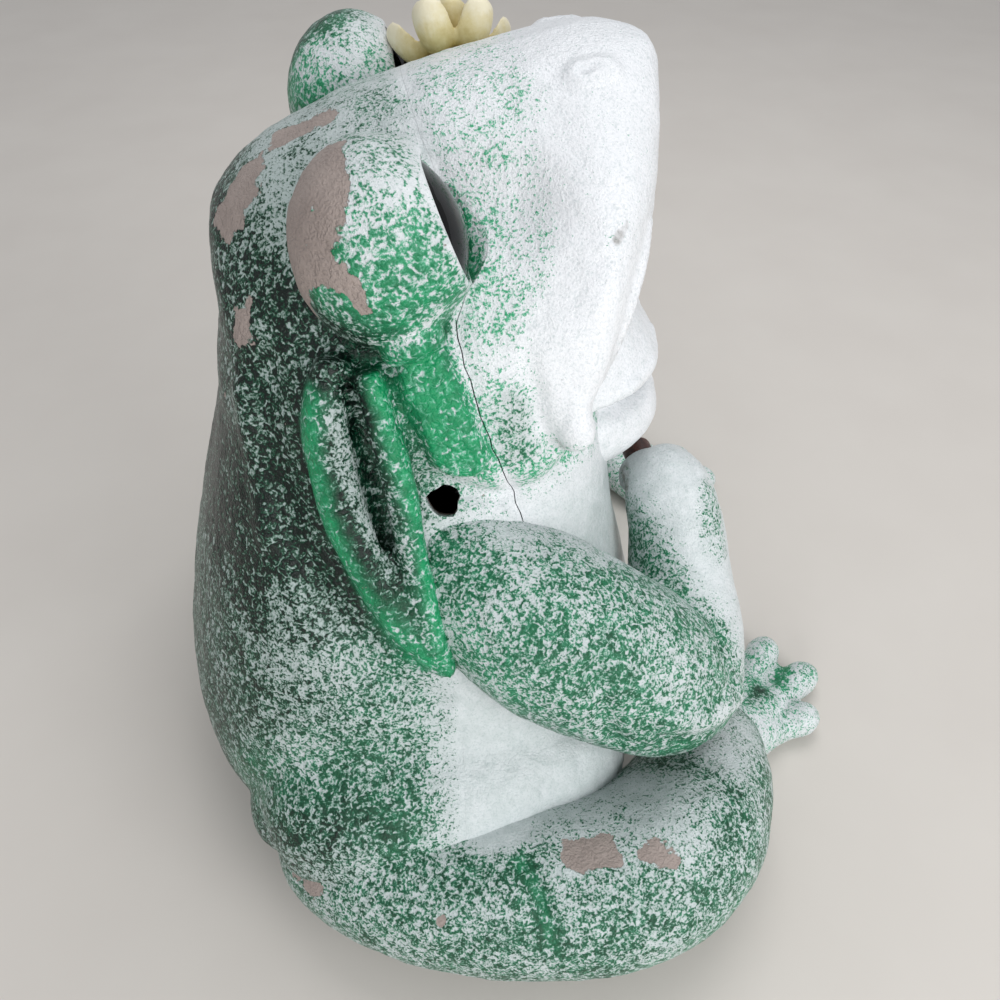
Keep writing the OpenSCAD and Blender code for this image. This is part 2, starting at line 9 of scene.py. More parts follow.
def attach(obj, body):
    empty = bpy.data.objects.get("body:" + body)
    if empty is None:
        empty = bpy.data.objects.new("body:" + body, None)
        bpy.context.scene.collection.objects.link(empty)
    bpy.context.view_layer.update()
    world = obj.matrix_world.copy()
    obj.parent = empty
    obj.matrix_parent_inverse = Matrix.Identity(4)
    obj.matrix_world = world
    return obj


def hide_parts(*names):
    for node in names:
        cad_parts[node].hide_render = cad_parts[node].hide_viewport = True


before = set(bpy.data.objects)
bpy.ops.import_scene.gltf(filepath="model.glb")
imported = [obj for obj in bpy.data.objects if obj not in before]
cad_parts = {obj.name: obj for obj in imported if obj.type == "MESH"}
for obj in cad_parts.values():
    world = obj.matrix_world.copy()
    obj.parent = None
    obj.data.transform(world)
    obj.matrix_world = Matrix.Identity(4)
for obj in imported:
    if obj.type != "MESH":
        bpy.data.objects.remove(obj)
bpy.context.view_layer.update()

mm = 0.001


def deselectAll():
    if bpy.context.object and bpy.context.object.mode != "OBJECT":
        bpy.ops.object.mode_set(mode="OBJECT")
    bpy.ops.object.select_all(action="DESELECT")


def pick(*objects):
    deselectAll()
    for item in objects:
        item.select_set(True)
    bpy.context.view_layer.objects.active = objects[0]


def addForm(operator, **settings):
    # the object that a primitive's operator makes
    deselectAll()
    operator(**settings)
    return bpy.context.object


def hexColour(text):
    # sRGB hex to the linear values that nodes take
    parts = [int(text[i:i + 2], 16) / 255 for i in (1, 3, 5)]
    return tuple(c / 12.92 if c <= 0.04045 else ((c + 0.055) / 1.055) ** 2.4 for c in parts) + (1.0,)


def feed(tree, node, inputs):
    # an input takes another node's socket, a value or a hex colour
    for key, value in inputs.items():
        if isinstance(value, bpy.types.NodeSocket):
            tree.links.new(value, node.inputs[key])
        else:
            node.inputs[key].default_value = hexColour(value) if isinstance(value, str) else value


def addNode(tree, kind, inputs, **settings):
    node = tree.nodes.new(kind)
    for key, value in settings.items():
        setattr(node, key, value)
    feed(tree, node, inputs)
    return node


def newMaterial(name, fixed):
    # node material with its shader's fixed inputs set: itself, its tree, its shader and object coordinates
    material = bpy.data.materials.new(name)
    material.use_nodes = True
    tree = material.node_tree
    shader = tree.nodes["Principled BSDF"]
    feed(tree, shader, fixed)
    return material, tree, shader, addNode(tree, "ShaderNodeTexCoord", {}).outputs["Object"]


def noise(tree, where, scale, detail, **more):
    # noise from 0 to 1; the scale is in lumps per metre
    inputs = {"Vector": where, "Scale": scale, "Detail": detail, **more}
    return addNode(tree, "ShaderNodeTexNoise", inputs).outputs["Fac"]


def maths(tree, operation, *terms, clamp=False):
    # terms are sockets or numbers
    node = addNode(tree, "ShaderNodeMath", dict(enumerate(terms)), operation=operation, use_clamp=clamp)
    return node.outputs[0]


def scaled(tree, term, factor, extra, clamp=False):
    # term times factor plus extra
    return maths(tree, "MULTIPLY_ADD", term, factor, extra, clamp=clamp)


def mixed(tree, share, first, second):
    # from the first colour to the second
    return addNode(tree, "ShaderNodeMix", {0: share, 6: first, 7: second}, data_type="RGBA").outputs[2]


def mixedValue(tree, share, first, second):
    return addNode(tree, "ShaderNodeMix", {0: share, 2: first, 3: second}, data_type="FLOAT").outputs[0]


def ramped(tree, share, stops):
    # colours by position; the first and the last stand at 0 and 1
    ramp = addNode(tree, "ShaderNodeValToRGB", {0: share})
    elements = ramp.color_ramp.elements
    elements[0].color, elements[1].color = hexColour(stops[0][1]), hexColour(stops[-1][1])
    for position, colour in stops[1:-1]:
        elements.new(position).color = hexColour(colour)
    return ramp.outputs[0]


def bumped(tree, height, strength, distance):
    # a normal from a height; the distance is in millimetres
    inputs = {"Height": height, "Strength": strength, "Distance": distance * mm}
    return addNode(tree, "ShaderNodeBump", inputs).outputs["Normal"]


def applyModifier(piece, kind, **settings):
    pick(piece)
    modifier = piece.modifiers.new(kind.title(), kind)
    for key, value in settings.items():
        setattr(modifier, key, value)
    bpy.ops.object.modifier_apply(modifier=modifier.name)


def vectors(values, name):
    flat = np.empty(len(values) * 3)
    values.foreach_get(name, flat)
    return flat.reshape(-1, 3)


def points(piece):
    return vectors(piece.data.vertices, "co")


def normals(piece):
    return vectors(piece.data.vertex_normals, "vector")


def setPoints(piece, place):
    piece.data.vertices.foreach_set("co", np.ascontiguousarray(place, dtype=np.float64).ravel())
    piece.data.update()


def rowAt(table, u):
    # smooth curve through a table's rows, u from 0 to 1
    rows = np.asarray(table, float)
    last = len(rows) - 1
    i = min(int(math.floor(u * last)), last - 1)
    f = u * last - i
    a, b, c, d = rows[max(i - 1, 0)], rows[i], rows[i + 1], rows[min(i + 2, last)]
    return b + f / 2 * ((c - a) + f * ((2 * a - 5 * b + 4 * c - d) + f * (3 * b - a - 3 * c + d)))


def signedPower(value, power):
    return math.copysign(abs(value) ** power, value)


# ---- camera, light and floor
cameraSetting = {"place": (0.0038, -0.2100, 0.2986), "pitch": 43.5, "turn": -10.3, "lens": 28.8}
lampSetting = {  # place, height aimed at, size and watts
    "skyPanel": ((0.2, 0.3, 0.95), 0.1, 0.6, 2.9), "sidePanel": ((0.6, -0.75, 0.44), 0.12, 0.55, 4.2),
    "flankPanel": ((-0.15, -0.78, 0.26), 0.1, 0.36, 1.7)}
roomSetting = {"colour": "#F2F4F8", "strength": 0.56}
floorSetting = {"size": 4, "drop": 0.4, "light": "#D8D3CC", "deep": "#CFC9C2"}


def setCamera():
    data = bpy.data.cameras.new("photoView")
    data.lens = cameraSetting["lens"]
    data.sensor_width = 36
    data.clip_start = 0.01
    view = bpy.data.objects.new("photoView", data)
    view.location = cameraSetting["place"]
    view.rotation_euler = (math.radians(cameraSetting["pitch"]), 0, math.radians(cameraSetting["turn"]))
    bpy.context.scene.collection.objects.link(view)
    bpy.context.scene.camera = view


def areaLight(name, place, height, size, power):
    data = bpy.data.lights.new(name, "AREA")
    data.size = size
    data.energy = power
    lamp = bpy.data.objects.new(name, data)
    lamp.location = place
    lamp.rotation_euler = (Vector((0, 0, height)) - Vector(place)).to_track_quat("-Z", "Y").to_euler()
    bpy.context.scene.collection.objects.link(lamp)


def setStudio():
    bpy.context.scene.view_settings.view_transform = "Standard"
    world = bpy.data.worlds.new("softRoom")
    bpy.context.scene.world = world
    world.use_nodes = True
    feed(world.node_tree, world.node_tree.nodes["Background"],
         {"Color": roomSetting["colour"], "Strength": roomSetting["strength"]})
    for name, setting in lampSetting.items():
        areaLight(name, *setting)
    floor = addForm(bpy.ops.mesh.primitive_plane_add, size=floorSetting["size"],
                    location=(0, 0, -floorSetting["drop"] * mm))
    floor.name = "paleFloor"
    # matt pale painted board under the ornament
    material, tree, shader, where = newMaterial("paintedBoard", {"Roughness": 0.7})
    feed(tree, shader, {"Base Color": mixed(tree, noise(tree, where, 14, 4), floorSetting["deep"],
                                            floorSetting["light"])})
    floor.data.materials.append(material)


setCamera()
setStudio()
print("camera, light and floor stand")

# ---- the figure's main forms, in millimetres
figureShape = {
    "bodyHeight": 185, "rumpReach": 77, "bellyReach": 88, "halfWidth": 103, "squareness": 0.74,
    "headLength": 119, "headBack": 37, "headHeight": 108, "headHalfWidth": 62, "jowlHeight": 129.5,
    "clay": 1.25, "blend": 5, "lumps": [(22, 1.2), (7, 0.5), (2.6, 0.25)]}
bodyRows = [  # bottom to top: shares of height, rump reach, belly reach and half width
    [0, 0.82, 0.86, 0.82], [0.04, 0.92, 0.96, 0.93], [0.16, 1, 1.01, 1], [0.3, 0.99, 0.99, 1],
    [0.43, 0.91, 0.93, 0.93], [0.57, 0.79, 0.86, 0.82], [0.7, 0.67, 0.83, 0.69],
    [0.81, 0.58, 0.78, 0.59], [0.92, 0.52, 0.7, 0.52], [1, 0.4, 0.5, 0.4]]
headRows = [  # nape to snout: shares of length, crown height, jowl height and half width
    [0, 0.6, 0.44, 0.3], [0.03, 0.68, 0.28, 0.56], [0.13, 0.78, 0.13, 0.8], [0.25, 0.845, 0.05, 0.91],
    [0.43, 0.91, 0.01, 0.98], [0.6, 0.955, 0.03, 1], [0.72, 0.98, 0.12, 0.99], [0.8, 0.995, 0.3, 0.92],
    [0.87, 1, 0.47, 0.74], [0.93, 0.99, 0.56, 0.54], [0.97, 0.975, 0.62, 0.36], [1, 0.93, 0.7, 0.12]]
headHalf = [[0, 1], [0.2, 0.98], [0.37, 0.92], [0.54, 0.81], [0.73, 0.66], [0.92, 0.46], [1, 0.25],
            [0.96, 0.09], [0.8, 0.02], [0.4, 0], [0, 0]]  # crown to chin, shares of half width and height
eyeShape = {
    "x": 7, "y": 43, "z": 207.5, "width": 41, "height": 48, "tilt": 19, "glass": 14.5, "rim": 14.49, "dome": 5,
    "socket": 5, "edge": 0.6, "lid": 1.25, "lidBack": 16.6, "lidFront": 9, "lidDepth": 13, "bore": 14.7,
    "boreDepth": 6.1, "collarBack": 19.5, "collarFront": 16.2, "collarDepth": 7.5}
eyeWay = np.array([math.cos(math.radians(eyeShape["tilt"])), 0, math.sin(math.radians(eyeShape["tilt"]))])
eyeUp = np.array([-eyeWay[2], 0, eyeWay[0]])


def closeForm(piece, depth=None):
    # a flat form is drawn out by its depth; then the normals face outwards
    pick(piece)
    bpy.ops.object.mode_set(mode="EDIT")
    bpy.ops.mesh.select_all(action="SELECT")
    if depth:
        bpy.ops.mesh.extrude_region_move(TRANSFORM_OT_translate={"value": depth})
        bpy.ops.mesh.select_all(action="SELECT")
    bpy.ops.mesh.normals_make_consistent(inside=False)
    bpy.ops.object.mode_set(mode="OBJECT")
    return piece


def wrapSphere(name, segments, rings, pointAt):
    # a sphere primitive whose rings are carried to a form: pointAt(share along, angle round)
    piece = addForm(bpy.ops.mesh.primitive_uv_sphere_add, segments=segments, ring_count=rings, radius=1)
    piece.name = name
    place = points(piece)
    made = np.zeros_like(place)
    for i, (x, y, z) in enumerate(place):
        k = round(rings * (1 - math.acos(max(-1, min(1, z))) / math.pi))
        share = (k - 1) / (rings - 2)
        if 0 < k < rings:
            made[i] = pointAt(share, math.atan2(y, x))
        else:
            ends = [pointAt(min(max(share, 0), 1), a * math.pi / 4) for a in range(8)]
            made[i] = np.mean(ends, axis=0)
    setPoints(piece, made * mm)
    return closeForm(piece)


def bodyPoint(share, angle):
    f = figureShape
    row = rowAt(bodyRows, share)
    c, s = signedPower(math.cos(angle), f["squareness"]), signedPower(math.sin(angle), f["squareness"])
    reach = row[2] * f["bellyReach"] if c > 0 else row[1] * f["rumpReach"]
    return [c * reach, s * row[3] * f["halfWidth"], row[0] * f["bodyHeight"]]


def headPoint(share, angle):
    f = figureShape
    row = rowAt(headRows, share)
    across = rowAt(headHalf, abs(angle) / math.pi)
    full = (row[1] - row[2]) * f["headHeight"]
    middle = f["jowlHeight"] + (row[1] + row[2]) * f["headHeight"] / 2
    y = math.copysign(across[0] * row[3] * f["headHalfWidth"], angle)
    return [row[0] * f["headLength"] - f["headBack"], y, middle + (across[1] - 0.5) * full]


def bulbPoint(side):
    f = eyeShape

    def at(share, angle):
        across = f["width"] / 2 * math.sin(math.pi * share)
        return [f["x"] + across * math.cos(angle), side * f["y"] + across * math.sin(angle),
                f["z"] - f["height"] / 2 * math.cos(math.pi * share)]
    return at


def limbPoint(rows, upright=(0, 0, 1)):
    def at(share, angle):
        row = rowAt(rows, share)
        ahead, behind = rowAt(rows, min(share + 0.02, 1)), rowAt(rows, max(share - 0.02, 0))
        way = (ahead - behind)[:3]
        way = way / np.linalg.norm(way)
        across = np.cross(upright, way)
        across = across / np.linalg.norm(across)
        return row[:3] + row[3] * (math.cos(angle) * across + math.sin(angle) * np.cross(way, across))
    return at


def meltTogether(pieces, voxel, smoothing):
    # clay forms pressed into one skin
    pick(*pieces)
    if len(pieces) > 1:
        bpy.ops.object.join()
    piece = bpy.context.view_layer.objects.active
    applyModifier(piece, "REMESH", mode="VOXEL", voxel_size=voxel * mm, adaptivity=0)
    applyModifier(piece, "SMOOTH", factor=0.5, iterations=smoothing)
    return piece


def falloff(share, flat=1.0):
    share = np.clip((1 - share) * flat, 0, 1)
    return share * share * (3 - 2 * share)


def lineDistance(place, line):
    # distance in millimetres from each point to a line of points, or to a single point
    line = np.asarray(line, float)
    best = np.linalg.norm(place - line[0], axis=1)
    for a, b in zip(line[:-1], line[1:]):
        way = b - a
        t = np.clip((place - a) @ way / (way @ way), 0, 1)
        best = np.minimum(best, np.linalg.norm(place - a - t[:, None] * way, axis=1))
    return best


def onNearSide(place, side):
    # lines are given on the near side: points of the far side (1) or of both sides (0) are carried there
    moved = place.copy()
    moved[:, 1] = -side * place[:, 1] if side else -np.abs(place[:, 1])
    return moved


def sculpt(piece, strokes, side):
    # each stroke raises or presses the skin along a line: line, width, height and flatness
    for line, width, height, flat in strokes:
        place = points(piece) / mm
        out = normals(piece)
        near = falloff(lineDistance(onNearSide(place, side), line) / width, flat)
        setPoints(piece, (place + out * (near * height)[:, None]) * mm)


def smoothRegion(piece, centre, radius, iterations):
    group = piece.vertex_groups.new(name="soften")
    place = points(piece) / mm
    weight = falloff(np.linalg.norm((place - centre) / radius, axis=1))
    for i in np.nonzero(weight > 0.02)[0]:
        group.add([int(i)], float(weight[i]), "REPLACE")
    applyModifier(piece, "SMOOTH", factor=0.5, iterations=iterations, vertex_group="soften")
    piece.vertex_groups.remove(piece.vertex_groups["soften"])


ribs = [  # straps and folds laid on the near side: x, y, z and radius; the far side is the mirror image
    [(0, -54, 182, 3.4), (1, -57, 173, 4.4), (3, -62, 161, 4.6), (4.5, -66, 150, 4.4), (5, -71, 139, 4.4),
     (5.5, -75, 130, 4.4), (7, -82, 118, 4.4), (10, -87, 106, 3.6), (11, -89, 100, 2.5)],
    [(-8, -50, 184, 4), (-11, -54, 172, 6.2), (-12, -58, 160, 6.4), (-11, -64, 147, 6.4), (-8, -70, 136, 6.2),
     (-4, -76, 126, 5.8), (2, -82, 114, 5), (9, -87, 102, 3)],
    [(50, -57, 178, 0.8), (50, -58.5, 172, 2.4), (50.5, -59.5, 166, 4.4), (51, -60.5, 160, 5.4),
     (51.5, -60.5, 156.5, 4.2)]]
haunch = [  # swelling of the near flank that the leg grows out of: x, y, z and radius
    (-55, -82, 24, 10), (-50, -83, 26, 17), (-43, -83, 29, 24), (-33, -85, 33, 31.5), (-23, -87, 36, 35.5),
    (-10, -89, 37, 36), (2, -88, 38, 36), (14, -87, 38, 35), (28, -84, 37, 34), (42, -82, 35, 31),
    (54, -74, 31, 24), (62, -66, 29, 14)]
softRegions = [  # nape and haunches worked smooth: centre, radii and rounds
    ((-30, 0, 180), (34, 75, 30), 160), ((-10, -104, 72), (85, 30, 26), 140),
    ((-10, 104, 72), (85, 30, 26), 140)]
figureStrokes = [  # lines on the near side, width, height and flatness
    # grooves beside the straps
    ([(-4, -53, 178), (-2, -60, 161), (-1, -65, 146), (0, -70, 133), (2, -77, 117)], 4.2, -3.6, 1.2),
    ([(-27, -44, 178), (-29, -54, 156), (-26, -65, 136), (-18, -77, 117), (-6, -87, 100), (6, -92, 90)],
     9.0, -2.4, 1),
    ([(-35, -40, 170), (-37, -50, 152), (-34, -60, 136)], 7, 2, 1),
    # valley before the glass
    ([(26, -36, 214), (38, -36, 211)], 17, -4.5, 1),
    # block of the cheek, with a groove below it
    ([(12, -56, 187), (14, -60, 176), (18, -63, 166), (20, -64, 160)], 9.5, 4, 3),
    ([(8, -60, 174), (11, -64, 160), (14, -66, 150)], 2.6, -1.8, 1),
    ([(12, -62, 150), (20, -63, 146), (32, -62, 141)], 5, -2.2, 1),
    # crease under the eye
    ([(-12, -56, 190), (-2, -60, 186), (10, -61, 185), (24, -57, 190)], 4, -2.2, 1),
    # hollows beside the fold that droops at the mouth corner
    ([(38, -57, 192), (39, -60, 178), (41, -61, 165), (44, -61, 157)], 5, -2.2, 1),
    ([(57, -46, 200), (55, -52, 186), (55, -54, 174), (55, -54, 166)], 5, -2, 1),
    # upper lip: a rolled edge with a step under it
    ([(72, -32, 202), (69, -40, 194), (65, -46, 186), (61, -49, 179), (57, -52, 172)], 3.2, 2, 1.4),
    ([(71, -25, 192), (66, -34, 183), (61, -41, 175), (56, -46, 168), (52, -50, 160)], 4.2, -4.6, 1.5),
    # jowl and its lower edge
    ([(30, -62, 150), (38, -62, 150)], 13, 2.2, 1),
    # nostril: low mound with a slit
    ([(57.5, -18, 232), (63.5, -17, 232)], 5.5, 1.5, 1.3),
    ([(58.5, -18.5, 233), (62.5, -17, 233)], 2.2, -2.4, 1.2),
]

seamLine = [(8.34, 255), (27.55, 199.24), (22, 187.6), (26.8, 166.3), (34.3, 142.5), (37.8, 128.3),
            (31.7, 104.5), (14.1, 80.8), (8.8, 47.5), (8.8, -6)]  # crown to base, x and z
seamShape = {"gap": [(0, 0.02), (112, 0.03), (130, 0.3), (190, 0.3), (204, 0.06), (255, 0.03)],  # by height
             "rounding": 2, "depth": 0.7, "wobble": 0.35, "top": (212, 20, 0.25), "bottom": (95, 25, 0.08),
             "low": -6.0, "high": 255.0, "steps": 88, "front": 190.0, "side": 140.0}


def seamAt(z):
    # the seam's x at a height, with a hand-filed wobble
    line = np.array(seamLine[::-1])
    return np.interp(z, line[:, 1], line[:, 0]) + seamShape["wobble"] * np.sin(z * 0.9) * np.cos(z * 0.31 + 1)


def seamBlock(side):
    # block ahead of the seam, from which a casting is cut
    f = seamShape
    heights = np.linspace(f["low"], f["high"], f["steps"])
    block = addForm(bpy.ops.mesh.primitive_grid_add, x_subdivisions=len(heights) - 1, y_subdivisions=1, size=1)
    place = points(block)
    order = np.lexsort((place[:, 0], place[:, 1]))
    for j, i in enumerate(order):
        z = heights[j % len(heights)]
        gap = np.interp(z, *np.array(f["gap"]).T)
        place[i] = [seamAt(z) + side * gap / 2 if j < len(heights) else f["front"], -f["side"], z]
    setPoints(block, place * mm)
    return closeForm(block, (0, 2 * f["side"] * mm, 0))


def carve(piece, cutter, operation="DIFFERENCE"):
    applyModifier(piece, "BOOLEAN", operation=operation, object=cutter, solver="MANIFOLD")
    bpy.data.objects.remove(cutter)


def copyPiece(piece, name):
    twin = piece.copy()
    twin.data = piece.data.copy()
    twin.name = name
    bpy.context.scene.collection.objects.link(twin)
    return twin


def settle(piece):
    # place goes into the mesh, and edges sharper than the limit stay crisp
    pick(piece)
    bpy.ops.object.transform_apply(location=True, rotation=True, scale=True)
    bpy.ops.object.shade_smooth_by_angle(angle=math.radians(50))


def roughen(piece, sizes):
    # hand-cast unevenness: lump size and height in millimetres
    for i, (lump, height) in enumerate(sizes):
        texture = bpy.data.textures.new("lump%d" % i, "CLOUDS")
        texture.noise_scale = lump * mm
        texture.noise_depth = 2
        applyModifier(piece, "DISPLACE", texture=texture, strength=height * mm, mid_level=0.5,
                      texture_coords="LOCAL", direction="NORMAL")


def insetPoint(pointAt, centre, scale):
    def at(share, angle):
        return np.array(centre) + (np.array(pointAt(share, angle)) - centre) * scale
    return at


def eyePlace(side, ahead):
    # a point on the eye's axis
    return np.array([eyeShape["x"], side * eyeShape["y"], eyeShape["z"]]) + ahead * eyeWay


def addCone(vertices, back, front, place, depth):
    # a cone on the eye's axis
    turn = math.pi / 2 - math.radians(eyeShape["tilt"])
    return addForm(bpy.ops.mesh.primitive_cone_add, vertices=vertices, radius1=back * mm, radius2=front * mm,
                   depth=depth * mm, rotation=(0, turn, 0), location=place * mm)


def addRod(name, middle, length, radius, vertices):
    # a cylinder on the axis of the held stick
    piece = addForm(bpy.ops.mesh.primitive_cylinder_add, vertices=vertices, radius=radius * mm,
                    depth=length * mm, rotation=(math.pi / 2, 0, 0),
                    location=(armShape["rodX"] * mm, middle * mm, armShape["rodZ"] * mm))
    piece.name = name
    return piece


print("clay forms")
bodyForm = wrapSphere("bodyForm", 72, 60, bodyPoint)
headForm = wrapSphere("headForm", 64, 48, headPoint)
forms = [bodyForm, headForm]
for side in (-1, 1):
    forms.append(wrapSphere("bulbForm", 40, 28, bulbPoint(side)))
    forms.append(addCone(48, eyeShape["collarBack"], eyeShape["collarFront"],
                         eyePlace(side, eyeShape["rim"] - 2), eyeShape["collarDepth"]))
    for line in ribs + [haunch]:
        rows = [(x, -side * y, z, r) for x, y, z, r in line]
        forms.append(wrapSphere("ribForm", 20, 40, limbPoint(rows, (0, 1, 0))))
figure = meltTogether(forms, figureShape["clay"], figureShape["blend"])
for region in softRegions:
    smoothRegion(figure, *region)
sculpt(figure, figureStrokes, 0)
roughen(figure, figureShape["lumps"])
place = points(figure) / mm
pressed = seamShape["depth"] * np.exp(-((place[:, 0] - seamAt(place[:, 2])) / seamShape["rounding"]) ** 2)
start, fade, least = seamShape["top"]
pressed *= np.clip((start - place[:, 2]) / fade, least, 1)
start, fade, least = seamShape["bottom"]
pressed *= np.clip((place[:, 2] - start) / fade, least, 1)
place -= normals(figure) * pressed[:, None]
place[:, 2] = np.maximum(place[:, 2], 0)
setPoints(figure, place * mm)
print("figure skin", len(figure.data.polygons))

# the hollow inside, then the sockets, the ragged hole and the seam
hollowShape = {"body": ((0, 0, -20), 0.9), "head": ((22, 0, 190), 0.82), "clay": 4, "blend": 6, "socket": 27,
               "socketPlace": (18, 43, 211), "skin": 2.6}
holeShape = {"radius": 4.4, "depth": 50, "place": (15.8, -59, 139.8), "way": (0.1, 1, -0.95)}
hollowBody = wrapSphere("hollowBody", 40, 24, insetPoint(bodyPoint, *hollowShape["body"]))
hollowHead = wrapSphere("hollowHead", 40, 24, insetPoint(headPoint, *hollowShape["head"]))
hollow = meltTogether([hollowBody, hollowHead], hollowShape["clay"], hollowShape["blend"])
for side in (-1, 1):
    x, y, z = hollowShape["socketPlace"]
    carve(hollow, addForm(bpy.ops.mesh.primitive_uv_sphere_add, segments=24, ring_count=16,
                          radius=hollowShape["socket"] * mm, location=(x * mm, side * y * mm, z * mm)))
inside = points(hollow)
carve(figure, hollow)
for side in (-1, 1):
    f = eyeShape
    lid = f["rim"] + f["lid"]
    for back, front, start, end in ((f["lidBack"], f["lidFront"], lid, lid + f["lidDepth"]),
                                    (f["bore"], f["bore"], f["rim"] - f["boreDepth"], lid + 1)):
        carve(figure, addCone(96, back, front, eyePlace(side, (start + end) / 2), end - start))
hole = addForm(bpy.ops.mesh.primitive_cylinder_add, vertices=14, radius=holeShape["radius"] * mm,
               depth=holeShape["depth"] * mm)
place = points(hole)
turn = np.arctan2(place[:, 1], place[:, 0])
place[:, :2] *= (1 + 0.1 * np.sin(3 * turn + 1) + 0.07 * np.sin(5 * turn))[:, None]  # ragged outline
setPoints(hole, place)
hole.location = [c * mm for c in holeShape["place"]]
hole.rotation_euler = Vector(holeShape["way"]).to_track_quat("Z", "Y").to_euler()
carve(figure, hole)
frontCasting = copyPiece(figure, "frontCasting")
rearCasting = figure
rearCasting.name = "rearCasting"
carve(frontCasting, seamBlock(1), "INTERSECT")
carve(rearCasting, seamBlock(-1))
print("castings", len(rearCasting.data.polygons), len(frontCasting.data.polygons))

# ---- lower jaw
jawShape = {"chin": 112.7, "height": 73.4, "reach": 92, "halfWidth": 43, "back": 68, "depth": 20, "clay": 0.9,
            "blend": 2, "lumps": [(14, 0.8)]}
jawRows = [[0, 0.74, 0.82], [0.09, 0.87, 0.92], [0.17, 0.98, 0.99], [0.25, 1.01, 1.02], [0.35, 0.97, 0.98],
           [0.42, 0.86, 0.91], [0.5, 0.98, 1.01], [0.57, 0.96, 0.99], [0.7, 0.875, 0.93], [0.86, 0.77, 0.82],
           [1, 0.68, 0.72]]  # chin to upper lip: shares of height, reach and half width
jawStrokes = [([(84, 0, 147), (82, -14, 147), (77, -28, 147), (64, -40, 146)], 3.6, -2.6, 1),
              ([(88, -8, 152), (83, -24, 152), (74, -36, 152)], 3.2, 1.2, 1)]


def jawPoint(share, angle):
    f = jawShape
    row = rowAt(jawRows, share)
    c = signedPower(math.cos(angle), figureShape["squareness"])
    s = signedPower(math.sin(angle), figureShape["squareness"])
    ahead = row[1] * f["reach"] - f["back"] / 2 if c > 0 else f["depth"]
    return [f["back"] / 2 + c * ahead, s * row[2] * f["halfWidth"], f["chin"] + row[0] * f["height"]]


lowerJaw = meltTogether([wrapSphere("lowerJaw", 80, 72, jawPoint)], jawShape["clay"], jawShape["blend"])
sculpt(lowerJaw, jawStrokes, 0)
roughen(lowerJaw, jawShape["lumps"])
print("lower jaw", len(lowerJaw.data.polygons))

# ---- arms and fists
armShape = {"shoulder": 12.32, "reach": 72, "halfWidth": 103, "jowl": 129.5, "width": 52, "clay": 1.25,
            "finger": 8, "fingerRing": 6.2, "fingerRound": 4.1, "fingers": (0.5, 1.6, 2.7), "fistY": 23.2,
            "rodX": 87.9, "rodZ": 107, "bore": 2.8, "boreStart": 3, "boreThrough": 60, "blend": 7,
            "lumps": [(16, 1), (5, 0.4), (2.6, 0.25)]}
armRows = [[-0.02, 0.47, 0.98, 0.28], [0.13, 0.62, 0.9, 0.42], [0.39, 0.757, 0.795, 0.52],
           [0.72, 0.825, 0.664, 0.51], [0.95, 0.82, 0.556, 0.47], [1.07, 0.71, 0.59, 0.39],
           [1.11, 0.56, 0.68, 0.33], [1.12, 0.44, 0.77, 0.3], [1.1, 0.35, 0.83, 0.28],
           [1.07, 0.25, 0.84, 0.2]]  # shoulder to knuckles: shares of reach, half width, jowl height and width
armStrokes = [
    ([(49, -103, 113), (52, -109, 96), (56, -112, 84)], 6, -2.2, 1),
    ([(36, -92, 118), (44, -100, 118)], 8, 2, 1),
    ([(70, -110, 92), (86, -108, 84), (96, -98, 78)], 7, 2.4, 1),
    ([(74, -108, 80), (84, -104, 70)], 5, -2, 1),
    ([(94, -62, 100), (98, -58, 88)], 5, -1.6, 1),
]


seats = {"haunch": 2.5, "body": ((0, 0, 80), 0.97)}  # depth in the haunch, and the body's centre and share


def seatInHaunch(limb, side):
    rows = [(x, -side * y, z, r - seats["haunch"]) for x, y, z, r in haunch]
    carve(limb, wrapSphere("haunchSeat", 28, 44, limbPoint(rows, (0, 1, 0))))


def seatOnBody(limb):
    # the part of a limb that would lie inside the body is cut away
    carve(limb, wrapSphere("bodySeat", 48, 40, insetPoint(bodyPoint, *seats["body"])))


def standOnFloor(piece):
    place = points(piece)
    place[:, 2] = np.maximum(place[:, 2], 0)
    setPoints(piece, place)
    return piece


def makeArm(name, side):
    f = armShape
    rows = [[f["shoulder"] + s[0] * f["reach"], side * s[1] * f["halfWidth"], s[2] * f["jowl"],
             s[3] * f["width"]] for s in armRows]
    forms = [wrapSphere(name, 40, 44, limbPoint(rows))]
    for k in f["fingers"]:
        finger = addForm(
            bpy.ops.mesh.primitive_torus_add, major_segments=28, minor_segments=14,
            major_radius=f["fingerRing"] * mm, minor_radius=f["fingerRound"] * mm, rotation=(math.pi / 2, 0, 0),
            location=(f["rodX"] * mm, side * (f["fistY"] + k * f["finger"]) * mm, f["rodZ"] * mm))
        pick(finger)
        bpy.ops.object.transform_apply(location=True, rotation=True, scale=True)
        forms.append(finger)
    arm = meltTogether(forms, f["clay"], f["blend"])
    arm.name = name
    seatOnBody(arm)
    sculpt(arm, armStrokes, side)
    roughen(arm, f["lumps"])
    # the right fist's bore is blind, the left one runs through
    start = f["fistY"] - f["boreStart"]
    end = f["fistY"] + (3 * f["finger"] if side < 0 else f["boreThrough"])
    carve(arm, addRod("bore", side * (start + end) / 2, end - start, f["bore"], 32))
    return arm


rightArm = makeArm("rightArm", -1)
leftArm = makeArm("leftArm", 1)
print("arms", len(rightArm.data.polygons))

